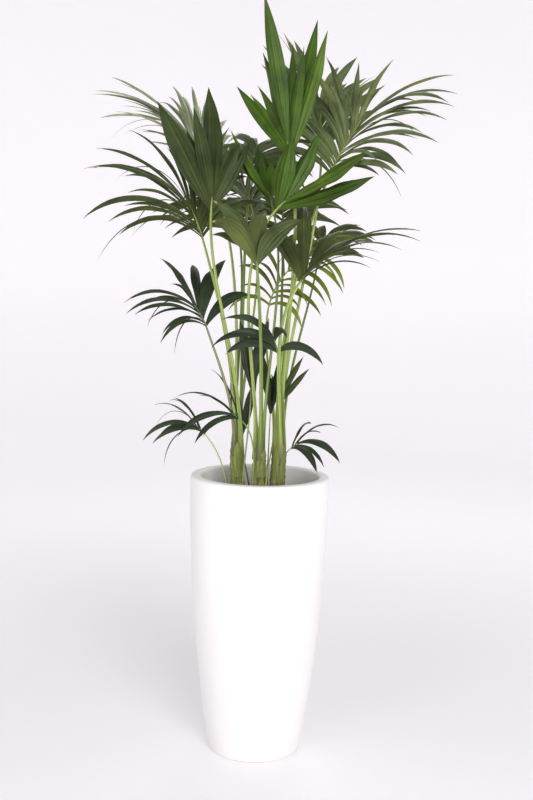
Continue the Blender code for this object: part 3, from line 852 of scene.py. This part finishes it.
def turned(profile, steps):
    """A profile of (radius, height) points turned about the pot's axis."""
    bm = new_mesh()
    chain = [bm.verts.new((radius, 0.0, height)) for radius, height in profile]
    edges = [bm.edges.new(pair) for pair in zip(chain, chain[1:])]
    bmesh.ops.spin(
        bm, geom=chain + edges, axis=UP, cent=(0.0, 0.0, 0.0),
        angle=TURN, steps=steps, use_merge=True,
    )
    on_axis = [v for v in bm.verts if math.hypot(v.co.x, v.co.y) < GAP]
    bmesh.ops.remove_doubles(bm, verts=on_axis, dist=GAP)
    return bm


def tube(sections, along, sides):
    """A closed limb through sections, each a function of an angle, with UVs round and along it."""
    bm = new_mesh()
    made = bmesh.ops.create_cone(
        bm, cap_ends=True, segments=sides, radius1=1.0, radius2=1.0, depth=2.0
    )["verts"]
    spots = {v: (math.atan2(v.co.y, v.co.x) / TURN, 1 if v.co.z > 0.0 else 0) for v in made}
    top = max({f for v in made for f in v.link_faces}, key=lambda f: f.calc_center_median().z)
    for v in made:
        v.co = sections[spots[v][1]](spots[v][0])
    for level in range(2, len(sections)):
        corners = list(top.verts)
        top = bmesh.ops.extrude_discrete_faces(bm, faces=[top])["faces"][0]
        for old, new in zip(corners, top.verts):
            spots[new] = (spots[old][0], level)
            new.co = sections[level](spots[new][0])
    layer = bm.loops.layers.uv.active
    for face in {f for v in spots for f in v.link_faces}:
        first = spots[face.verts[0]][0]
        for loop in face.loops:
            turn, level = spots[loop.vert]
            turn -= round(turn - first)
            loop[layer].uv = (turn, along[level])
    return bm


def section_axes(direction, reference):
    """Two axes square to a direction, the first as near to the reference as can be."""
    first = (reference - direction * reference.dot(direction)).normalized()
    return first, direction.cross(first)


# Half of the channel's width, as an angle about the limb's axis in radians
GROOVE_HALF_ANGLE = 0.65


def channelled(point, direction, reference, half_width, half_depth, groove):
    """A section with a channel along its upper side, which faces the reference."""
    upper, across = section_axes(direction, reference)

    def place(turn):
        angle = turn * TURN
        dip = 1.0 - groove * math.exp(-((angle / GROOVE_HALF_ANGLE) ** 2))
        return (
            point + upper * (math.cos(angle) * half_depth * dip)
            + across * (math.sin(angle) * half_width)
        )

    return place


def distances(points):
    """How far along a line each of its points is."""
    total = [0.0]
    for a, b in zip(points, points[1:]):
        total.append(total[-1] + (b - a).length)
    return total


# The petioles with the sheaths at their feet, and the ribs
PETIOLE_SIDES = 14
PETIOLE_RINGS = 30
RIB_SIDES = 10
RIB_RINGS_PER_METRE = 90
RIB_RINGS_LEAST = 4
FOOT_SINK = 0.012
SEEDLING_SHEATH_SHARE = 0.3
SHEATH_CURVE = 1.5
SHEATH_DEPTH_SHARE = 0.25
RIB_DEPTH_SHARE = 0.9
RIB_PATTERN_START = 0.5


def petiole_mesh(frond, settings):
    """A petiole from its widened foot, a little inside what it stands on, to the collar."""
    foot = petiole_foot(frond)
    collar = Vector(frond.collar)
    tangent = rib_frame(frond, 0.0)[1]
    reach = (collar - foot).length
    line = interpolate_bezier(
        foot, foot + UP * reach * PETIOLE_RISE,
        collar - tangent * reach * PETIOLE_REACH, collar, PETIOLE_RINGS,
    )
    directions = [UP] + [(b - a).normalized() for a, b in zip(line, line[2:])] + [tangent]
    line = [foot - UP * FOOT_SINK] + line
    directions = [UP] + directions
    along = distances(line)
    face = rib_frame(frond, 0.0)[2]
    flare = settings.sheath
    if frond.stem == SOIL:
        flare *= SEEDLING_SHEATH_SHARE
    sections = []
    for point, direction, distance in zip(line, directions, along):
        share = max(distance - FOOT_SINK, 0.0) / reach
        radius = 0.5 * frond.petiole * (1.0 - (1.0 - PETIOLE_TIP_SHARE) * min(share, 1.0))
        closeness = max(0.0, 1.0 - distance / settings.sheath_length)
        half_width = radius * (1.0 + flare * closeness**SHEATH_CURVE)
        half_depth = radius * (1.0 + SHEATH_DEPTH_SHARE * flare * closeness)
        groove = settings.groove * (1.0 - closeness)
        sections.append(channelled(point, direction, face, half_width, half_depth, groove))
    return tube(sections, along, PETIOLE_SIDES)


def rib_mesh(frond, settings):
    """The rib, which goes on from the petiole and thins out to the last leaflets."""
    rings = max(RIB_RINGS_LEAST, round(frond.rib * RIB_RINGS_PER_METRE))
    shares = [rib_end(frond) * i / rings for i in range(rings + 1)]
    sections = []
    points = []
    for share in shares:
        point, tangent, face = rib_frame(frond, share)
        radius = rib_radius(frond, share)
        half_depth = radius * RIB_DEPTH_SHARE
        sections.append(channelled(point, tangent, face, radius, half_depth, settings.groove))
        points.append(point)
    along = [RIB_PATTERN_START + distance for distance in distances(points)]
    return tube(sections, along, RIB_SIDES)


# A stem: its flare and taper, the scars of its old leaves, and the furrows between its fibres
STEM_SIDES = 28
STEM_RINGS = 44
STEM_FLARE = 0.22
TOP_TAPER = 0.45
TOP_TAPER_CURVE = 1.6
SCAR_SLOPE = 0.30
SCAR_WANDER = 0.5
FURROW_DEPTH = 0.0008
FINE_FURROW_DEPTH = 0.0005
FINE_FURROW_RATIO = 3.1
FURROWS_ROUND = 5.0
FURROWS_UP = 9.0
WANDERS_UP = 30.0
SEED_STEP = 40.0
SEED_TURN = 9.0
EDGE_SINK = 0.4


def stem_mesh(stem, settings):
    """A stem with the edges of its old leaf bases, furrows between their fibres, and a sheath."""
    foot = Vector((*stem.foot, SOIL_LEVEL - 2.0 * FOOT_SINK))
    fork = Vector(stem.fork)
    height = fork.z - foot.z
    top = fork + (fork - foot).normalized() * settings.rise
    seed = Vector((fork.x, fork.y, 0.0)) * SEED_STEP
    sections = []
    points = []
    for ring in range(STEM_RINGS + 1):
        share = ring / STEM_RINGS
        point = foot.lerp(top, share)
        rise = point.z - foot.z
        body = stem.radius * (1.0 + STEM_FLARE * max(0.0, 1.0 - rise / height) ** 2)
        over = max(0.0, point.z - fork.z) / settings.rise
        body *= 1.0 - TOP_TAPER * over**TOP_TAPER_CURVE

        def place(turn, point=point, body=body, rise=rise, over=over):
            angle = turn * TURN
            slope = SCAR_SLOPE * math.sin(angle + SEED_TURN * seed.x)
            wander = SCAR_WANDER * noise.noise(seed + UP * rise * WANDERS_UP)
            step = (rise / settings.scar_pitch + slope + wander) % 1.0
            edge = settings.relief * (step**2 - EDGE_SINK)
            cosine, sine = math.cos(angle), math.sin(angle)
            around = Vector((cosine * FURROWS_ROUND, sine * FURROWS_ROUND, rise * FURROWS_UP))
            furrow = FURROW_DEPTH * noise.noise(around + seed)
            fine = FINE_FURROW_DEPTH * noise.noise(around * FINE_FURROW_RATIO + seed)
            radius = body + (edge + furrow + fine) * (1.0 - 0.5 * over)
            return point + Vector((cosine, sine, 0.0)) * radius

        sections.append(place)
        points.append(point)
    return tube(sections, distances(points), STEM_SIDES)


# The columns of a leaflet's blade, from edge to edge, with the narrow midrib in the middle
BLADE_COLUMNS = (-1.0, -0.54, -0.07, 0.07, 0.54, 1.0)
BROAD_COLUMNS = (-1.0, -0.79, -0.56, -0.32, -0.07, 0.07, 0.32, 0.56, 0.79, 1.0)
BROAD_WIDTH = 0.034
PLEAT_DEPTH = 0.075
MIDRIB_HALF_WIDTH = 0.1
MIDRIB_RISE = 0.0005
BLADE_FALL = 1.15
BLADE_ROOT = 0.0032
BLADE_ROOT_FADE = 8
FOLD_RANGE = (0.75, 1.2)
FOLD_CURVE = 1.15
TIP_TURN = 35.0
TIP_TURN_CURVE = 3
WAVES_RANGE = (1.5, 3.5)
# Share of the leaflets given a painted lit copy of the upper side: painted light, as if light shone
# through them
PAINTED_LIT_SHARE = 0.3
DRY_FROM_RANGE = (0.86, 0.95)
NEVER_DRY = 2.0
MERGE_DISTANCE = 0.00002
# Material slots of a blade, the second a painted lit copy of the upper side
UPPER, PAINTED_LIT, UNDER, MIDRIB, DRY = range(5)


def at_share(line, share):
    """Point, direction and width direction at a share of a leaflet's line."""
    place = min(share * LEAFLET_LINE_STEPS, LEAFLET_LINE_STEPS - 1e-6)
    low = int(place)
    return [a.lerp(b, place - low) for a, b in zip(line[low], line[low + 1])]


def add_blade(bm, leaflet, line, settings, dice):
    """A leaflet's blade: a folded strip along its line, wavy at the edges and pointed at the tip.

    A broad leaflet is pleated along its length as well.
    """
    columns = BROAD_COLUMNS if leaflet.width > BROAD_WIDTH else BLADE_COLUMNS
    last = len(columns) - 1
    made = bmesh.ops.create_grid(
        bm, x_segments=last, y_segments=settings.rows, size=1.0, calc_uvs=True
    )["verts"]
    fold = math.tan(settings.fold * dice.uniform(*FOLD_RANGE))
    turn_at_tip = math.radians(dice.uniform(-TIP_TURN, TIP_TURN))
    waves = dice.uniform(*WAVES_RANGE)
    starts = {side: dice.uniform(0.0, TURN) for side in (1.0, -1.0)}
    # A share of the leaflets gets the second slot, a painted lit copy of the upper side's colour
    upper = PAINTED_LIT if dice.random() < PAINTED_LIT_SHARE else UPPER
    dry_from = dice.uniform(*DRY_FROM_RANGE) if dice.random() < settings.dry_share else NEVER_DRY
    places = {}
    for v in made:
        index = round((v.co.x + 1.0) / 2.0 * last)
        column = columns[index]
        share = (v.co.y + 1.0) / 2.0
        places[v] = (column, share)
        point, direction, breadth = at_share(line, share)
        breadth = Quaternion(direction, turn_at_tip * share**TIP_TURN_CURVE) @ breadth
        normal = direction.cross(breadth) * leaflet.side
        root = BLADE_ROOT * (1.0 - share) ** BLADE_ROOT_FADE
        half = 0.5 * leaflet.width * width_share(share, BLADE_FALL) + root
        side = math.copysign(1.0, column)
        wave = math.sin(waves * TURN * share + starts[side]) * column**2
        drop = fold * abs(column) ** FOLD_CURVE - settings.ripple * wave
        if last > len(BLADE_COLUMNS) and min(index, last - index) % 2 == 1:
            drop += PLEAT_DEPTH
        lift = MIDRIB_RISE * (1.0 - share) if abs(column) < MIDRIB_HALF_WIDTH else 0.0
        v.co = point - breadth * (leaflet.side * half * column) + normal * (lift - half * drop)
    for face in {f for v in made for f in v.link_faces}:
        spots = [places[v] for v in face.verts]
        middle = max(abs(column) for column, _ in spots) < MIDRIB_HALF_WIDTH
        face.material_index = MIDRIB if middle else upper
        if min(share for _, share in spots) >= dry_from:
            face.material_index = DRY


def frond_mesh(leaflets, settings, dice):
    """All the leaflets of a frond as closed thin blades."""
    bm = new_mesh()
    for leaflet, line in leaflets:
        add_blade(bm, leaflet, line, settings, dice)
    bmesh.ops.remove_doubles(bm, verts=bm.verts[:], dist=MERGE_DISTANCE)
    bm.normal_update()
    backs = bmesh.ops.solidify(bm, geom=bm.faces[:], thickness=settings.thickness)["geom"]
    for face in backs:
        if isinstance(face, bmesh.types.BMFace) and face.material_index in (UPPER, PAINTED_LIT):
            face.material_index = UNDER
    return bm


# Tilts of the leaflets that scene.py adds, in degrees, and how the threads differ from leaflets
BETWEEN_TILT = 9.0
THREAD_TILT = 16.0
THREAD_PLACES = (0.15, 0.85)
THREAD_LENGTHS = (0.8, 1.05)
THREAD_DROOPS = (1.2, 1.9)


def hang(made, frond, leaflet, tilt, limbs):
    """Add a leaflet with its line to those made, where it clears the limbs."""
    line = leaflet_line(frond, leaflet, tilt)
    tree = BVHTree.FromPolygons(*leaflet_surface(frond, leaflet, line))
    if not tree.overlap(limbs):
        made.append((leaflet, line))


def leaflets_between(frond, limbs, size):
    """Smaller leaflets between the pairs."""
    dice = random.Random(frond.name + " between")
    made = []
    for pair in range(1, frond.pairs):
        for side in (1, -1):
            leaflet = grown_leaflet(frond, pair / frond.pairs, side, dice)
            leaflet = replace(leaflet, length=leaflet.length * size, width=leaflet.width * size)
            hang(made, frond, leaflet, dice.uniform(-BETWEEN_TILT, BETWEEN_TILT), limbs)
    return made


def dried_threads(frond, limbs):
    """Thin dried leaflets, no more than threads, that arch out past the green ones."""
    dice = random.Random(frond.name + " threads")
    made = []
    for _ in range(THREADS.get(frond.name, 0)):
        share = dice.uniform(*THREAD_PLACES)
        leaflet = grown_leaflet(frond, share, dice.choice((1, -1)), dice)
        leaflet = replace(
            leaflet, length=leaflet.length * dice.uniform(*THREAD_LENGTHS), width=THREAD_WIDTH,
            droop=leaflet.droop * dice.uniform(*THREAD_DROOPS),
        )
        hang(made, frond, leaflet, dice.uniform(-THREAD_TILT, THREAD_TILT), limbs)
    return made


# Operators

class PALM_OT_pot(bpy.types.Operator):
    """Turn the tall white pot with its rounded rim"""

    bl_idname = "palm.pot"
    bl_label = "Pot"

    def execute(self, context):
        settings = context.scene.palm.pot
        outer = [(0.0, 0.0), (FOOT_RADIUS - FOOT_ROUNDING, 0.0)]
        top = POT_HEIGHT - RIM_ROUNDING
        for ring in range(POT_RINGS):
            height = FOOT_ROUNDING + (top - FOOT_ROUNDING) * ring / (POT_RINGS - 1)
            outer.append((pot_radius(height), height))
        rim = []
        middles = (RIM_RADIUS - RIM_ROUNDING, RIM_RADIUS - POT_WALL + RIM_ROUNDING)
        for middle, start in zip(middles, (0.0, 90.0)):
            for step in range(1, RIM_STEPS):
                angle = math.radians(start + 90.0 * step / RIM_STEPS)
                rim.append((
                    middle + RIM_ROUNDING * math.cos(angle), top + RIM_ROUNDING * math.sin(angle)
                ))
        inner = [(radius - POT_WALL, height) for radius, height in outer[:1:-1] if height > POT_FLOOR]
        inner += [(pot_radius(POT_FLOOR) - POT_WALL, POT_FLOOR), (0.0, POT_FLOOR)]
        bm = turned(outer + rim + inner, settings.segments)
        add_piece("pot", bm, [pot_finish(settings)], "pot_white", "pot")
        return {"FINISHED"}


SOIL_SIDE_RINGS = 12
SOIL_TOP_RINGS = 30
SOIL_SEGMENTS = 110

# The soil's lumps and crumbs: how many to a metre, and their height as a share of the relief
LUMPS, LUMP_HEIGHT = 28.0, 0.7
CRUMBS, CRUMB_HEIGHT = 120.0, 0.45
SOIL_DIP = 0.2

# A chip's length as a share of the longest, its width and thickness as shares of its length
CHIP_LENGTHS = (0.3, 1.0)
CHIP_WIDTHS = (0.35, 0.8)
CHIP_THICKNESSES = (0.15, 0.35)

# How high a chip's middle lies, in thicknesses, how far it tips, and how rough it is
CHIP_RISE = 0.2
CHIP_TILT = 0.4
CHIP_ROUGHNESS = 0.09


class PALM_OT_soil(bpy.types.Operator):
    """Fill the pot with uneven soil and lay bark chips on it"""

    bl_idname = "palm.soil"
    bl_label = "Soil"

    def execute(self, context):
        settings = context.scene.palm.soil
        bottom = POT_FLOOR + GAP
        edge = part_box("soil")[1].x
        profile = [(0.0, bottom)]
        for ring in range(SOIL_SIDE_RINGS + 1):
            height = bottom + (SOIL_LEVEL - settings.relief - bottom) * ring / SOIL_SIDE_RINGS
            profile.append((pot_radius(height) - POT_WALL - 2.0 * GAP, height))
        shares = [ring / SOIL_TOP_RINGS for ring in range(SOIL_TOP_RINGS - 1, -1, -1)]
        profile += [(edge * share, SOIL_LEVEL) for share in shares]
        bm = turned(profile, SOIL_SEGMENTS)
        for v in bm.verts:
            if v.co.z > SOIL_LEVEL - GAP:
                v.co.z = self.level(v.co, settings)
        add_piece("soil", bm, [soil_finish(settings)], "soil_dark", "soil")
        self.chips(settings, edge)
        return {"FINISHED"}

    def level(self, place, settings):
        """Height of the uneven soil at a place."""
        spot = Vector((place.x, place.y, 0.0))
        lumps = LUMP_HEIGHT * noise.noise(spot * LUMPS)
        crumbs = CRUMB_HEIGHT * noise.noise(spot * CRUMBS)
        return SOIL_LEVEL + settings.relief * (lumps + crumbs - SOIL_DIP)

    def chips(self, settings, edge):
        """Scatter chips of bark over the soil, each a rough flake."""
        dice = random.Random("bark chips")
        bm = new_mesh()
        for _ in range(settings.chips):
            angle = dice.uniform(0.0, TURN)
            radius = (edge - settings.chip_size) * math.sqrt(dice.random())
            place = Vector((math.cos(angle) * radius, math.sin(angle) * radius, 0.0))
            length = settings.chip_size * dice.uniform(*CHIP_LENGTHS)
            width = length * dice.uniform(*CHIP_WIDTHS)
            thickness = length * dice.uniform(*CHIP_THICKNESSES)
            place.z = self.level(place, settings) + CHIP_RISE * thickness
            tilts = [dice.uniform(-CHIP_TILT, CHIP_TILT) for _ in range(2)]
            turn = Euler((*tilts, dice.uniform(0.0, TURN)))
            form = Matrix.LocRotScale(place, turn, Vector((length, width, thickness)))
            made = bmesh.ops.create_icosphere(bm, subdivisions=1, radius=0.5, matrix=form)["verts"]
            rough = CHIP_ROUGHNESS * length
            for v in made:
                v.co += Vector([dice.uniform(-rough, rough) for _ in range(3)])
        add_piece("bark_chips", bm, [chip_finish(settings)], "soil_dark", sharp_angle=25.0)


class PALM_OT_stems(bpy.types.Operator):
    """Raise the short stems of old leaf bases"""

    bl_idname = "palm.stems"
    bl_label = "Stems"

    def execute(self, context):
        settings = context.scene.palm.stems
        finish = stem_finish(settings)
        for stem in STEMS:
            bm = stem_mesh(stem, settings)
            add_piece(stem.name, bm, [finish], "stem_brown", stem.name, sharp_angle=50.0)
        return {"FINISHED"}


# The browned feet of green petioles, of petioles with painted shade, and of grey petioles
GREEN_FOOT = (0.17, 0.16, 0.05)
PAINTED_SHADE_FOOT = (0.10, 0.10, 0.035)
GREY_FOOT = (0.10, 0.09, 0.035)


class PALM_OT_petioles(bpy.types.Operator):
    """Raise the petioles and the ribs that go on from them"""

    bl_idname = "palm.petioles"
    bl_label = "Petioles"

    def execute(self, context):
        settings = context.scene.palm.petioles
        colour, deep, grey = settings.colour, settings.deep_colour, settings.grey_colour
        green_skin = petiole_finish(
            "green", colour, settings.light_colour, settings.edge_colour, GREEN_FOOT
        )
        # Painted shade: a darker copy of the petiole skin for the petioles in the shade of others
        painted_shade_skin = petiole_finish("deep", deep, colour, shaded(deep, 0.45), PAINTED_SHADE_FOOT)
        grey_skin = petiole_finish("grey", grey, shaded(grey, 1.7), shaded(grey, 0.5), GREY_FOOT)
        skins = dict.fromkeys(PAINTED_SHADE_PETIOLES, painted_shade_skin) | dict.fromkeys(GREY_PETIOLES, grey_skin)
        for frond in FRONDS:
            skin = [skins.get(frond.name, green_skin)]
            name = petiole_name(frond)
            bm = petiole_mesh(frond, settings)
            add_piece(name, bm, skin, "petiole_green", name, sharp_angle=60.0)
            bm = rib_mesh(frond, settings)
            add_piece("rib_" + frond.name, bm, skin, "petiole_green", frond_node(frond), sharp_angle=60.0)
        return {"FINISHED"}


# What red, green and blue are multiplied by, for the other colours of a leaflet
# The lit copy is painted light, as if light shone through the leaflet
PAINTED_LIT_TINT = (1.6, 1.4, 1.25)
UNDER_TINT = (1.5, 1.35, 1.5)
MIDRIB_TINT = (1.8, 1.65, 1.4)


class PALM_OT_fronds(bpy.types.Operator):
    """Grow the leaflets of every frond"""

    bl_idname = "palm.fronds"
    bl_label = "Fronds"

    def execute(self, context):
        settings = context.scene.palm.fronds
        finishes = self.finishes(settings)
        standing = ["pot", SOIL] + [stem.name for stem in STEMS] + [petiole_name(f) for f in FRONDS]
        limbs = joined_tree([node_surface(name) for name in standing])
        obstacles = [limbs]
        for frond in FRONDS:
            ribs = joined_tree([rib_surface(other, CLEARANCE) for other in FRONDS if other != frond])
            kept, surfaces = fitted_leaflets(frond, obstacles + [ribs])
            obstacles.append(joined_tree(surfaces))
            kept += leaflets_between(frond, limbs, settings.between) + dried_threads(frond, limbs)
            bm = frond_mesh(kept, settings, random.Random(frond.name + " blades"))
            name = frond_node(frond)
            slot = "leaf_" + frond.tone
            add_piece(name, bm, finishes[frond.tone], slot, name, sharp_angle=26.0)
        return {"FINISHED"}

    def finishes(self, settings):
        """For each tone: the upper side, a painted lit copy of the upper side (with the faded colour for
        the pale tone), the underside, the midrib, dried tips.
        """
        dry = dry_finish(settings)
        made = {}
        for tone in TONES:
            colour = tuple(getattr(settings, tone))
            # light is painted light, a lit copy of the colour (the faded colour for the pale tone), and
            # is also the veins' colour
            light = tuple(settings.faded) if tone == "pale" else tinted(colour, PAINTED_LIT_TINT)
            under = tinted(colour, UNDER_TINT)
            midrib = tinted(colour, MIDRIB_TINT)
            made[tone] = [
                leaf_finish("leaf_" + tone, colour, light, 0.36),
                leaf_finish("leaf_light_" + tone, light, midrib, 0.38),
                leaf_finish("leaf_under_" + tone, under, light, 0.55),
                leaf_finish("midrib_" + tone, midrib, midrib, 0.40),
                dry,
            ]
        return made


# The camera, as it stood for the photograph
EYE = (0.0, -2.48, 1.13)
PITCH = 5.57
YAW = 0.27
ROLL = 1.42
LENS = 45.0

# Each light: where it hangs, what it is aimed at, and its width
KEY_LIGHT = ((1.1, -3.2, 1.9), (0.0, 0.0, 1.0), 2.0)
FILL_LIGHT = ((-2.1, -2.7, 1.7), (0.0, 0.0, 1.0), 2.2)
RIM_LIGHT = ((0.6, 3.0, 3.2), (0.0, 0.0, 1.2), 1.8)
SKY_COLOUR = (0.985, 0.965, 0.99, 1.0)

# The floor's sweep, and how its own light grows with the distance from the pot
FLOOR_RINGS = (0.0, 0.4, 1.2)
FLOOR_BEND = 1.5
BEND_STEPS = 12
WALL_TOP = 4.5
FLOOR_SEGMENTS = 64
GLOW_COLOUR = (0.985, 0.955, 0.985, 1.0)
GLOW_NEAR = 0.2
GLOW_FAR = 3.0
NEAR_GLOW_SHARE = 0.46


class PALM_OT_stage(bpy.types.Operator):
    """Set up the pale floor, the lights and the camera"""

    bl_idname = "palm.stage"
    bl_label = "Stage"

    def execute(self, context):
        settings = context.scene.palm.stage
        self.floor(settings)
        self.light("key_light", *KEY_LIGHT, settings.key)
        self.light("fill_light", *FILL_LIGHT, settings.fill)
        self.light("rim_light", *RIM_LIGHT, settings.fill)
        world = context.scene.world or bpy.data.worlds.new("world")
        context.scene.world = world
        world.use_nodes = True
        sky = world.node_tree.nodes["Background"]
        sky.inputs["Color"].default_value = SKY_COLOUR
        sky.inputs["Strength"].default_value = settings.sky
        context.scene.view_settings.view_transform = "Standard"
        self.camera(context.scene)
        return {"FINISHED"}

    def floor(self, settings):
        """A round floor that sweeps up into a wall."""
        level = settings.radius - FLOOR_BEND
        profile = [(radius, 0.0) for radius in (*FLOOR_RINGS, level)]
        for step in range(1, BEND_STEPS + 1):
            angle = math.radians(90.0 * step / BEND_STEPS)
            profile.append((
                level + FLOOR_BEND * math.sin(angle), FLOOR_BEND - FLOOR_BEND * math.cos(angle)
            ))
        profile.append((settings.radius, WALL_TOP))
        bm = turned(profile, FLOOR_SEGMENTS)
        placed("stage_floor", finished_mesh("stage_floor", bm, [self.paper(settings)]))

    def paper(self, settings):
        """Pale paper that glows a little, more so far from the pot."""
        finish = Finish("stage_paper", 0.9, 0.2)
        tint = finish.noise(finish.place(), 0.8, 2.0)
        finish.colour(finish.ramp(tint, (0.3, shaded(settings.colour, 0.985)), (0.7, settings.colour)))
        flat = finish.place("Object", (1.0, 1.0, 0.0))
        reach = finish.add("ShaderNodeVectorMath", {"Vector": flat}, "Value", operation="LENGTH")
        low, high = settings.wall_glow * NEAR_GLOW_SHARE, settings.wall_glow
        glow = finish.spread(reach, low, high, GLOW_NEAR, GLOW_FAR, "SMOOTHSTEP")
        finish.feed("Emission Strength", glow)
        finish.shader.inputs["Emission Color"].default_value = GLOW_COLOUR
        return finish.material

    def light(self, name, place, target, size, power):
        """A round light that the camera doesn't see."""
        lamp = bpy.data.lights.new(name, "AREA")
        lamp.shape = "DISK"
        lamp.size = size
        lamp.energy = power
        light = placed(name, lamp)
        light.location = place
        aim = Vector(target) - Vector(place)
        light.rotation_euler = aim.to_track_quat("-Z", "Y").to_euler()
        light.visible_camera = False

    def camera(self, scene):
        """The camera of the photograph, tipped a little down and rolled."""
        lens = bpy.data.cameras.new("camera")
        lens.lens = LENS
        camera = placed("camera", lens)
        turn = (
            Matrix.Rotation(-math.radians(YAW), 4, "Z")
            @ Matrix.Rotation(math.radians(90.0 - PITCH), 4, "X")
            @ Matrix.Rotation(math.radians(ROLL), 4, "Z")
        )
        camera.matrix_world = Matrix.Translation(EYE) @ turn
        scene.camera = camera


class PALM_PT_panel(bpy.types.Panel):
    """Buttons for every part of the palm"""

    bl_idname = "PALM_PT_panel"
    bl_label = "Potted Palm"
    bl_space_type = "VIEW_3D"
    bl_region_type = "UI"
    bl_category = "Palm"

    def draw(self, context):
        palm = context.scene.palm
        for operator, group in zip(OPERATORS, ("pot", "soil", "stems", "petioles", "fronds", "stage")):
            box = self.layout.box()
            box.operator(operator.bl_idname)
            settings = getattr(palm, group)
            for name in type(settings).__annotations__:
                box.prop(settings, name)


OPERATORS = (
    PALM_OT_pot, PALM_OT_soil, PALM_OT_stems, PALM_OT_petioles, PALM_OT_fronds, PALM_OT_stage,
)

CLASSES = (
    PotSettings, SoilSettings, StemSettings, PetioleSettings, FrondSettings, StageSettings,
    PalmSettings, *OPERATORS, PALM_PT_panel,
)


def register():
    for each in CLASSES:
        bpy.utils.register_class(each)
    bpy.types.Scene.palm = PointerProperty(type=PalmSettings)


def unregister():
    del bpy.types.Scene.palm
    for each in reversed(CLASSES):
        bpy.utils.unregister_class(each)


def main():
    register()
    bpy.ops.palm.pot()
    bpy.ops.palm.soil()
    bpy.ops.palm.stems()
    bpy.ops.palm.petioles()
    bpy.ops.palm.fronds()
    bpy.ops.palm.stage()


if __name__ == "__main__":
    main()
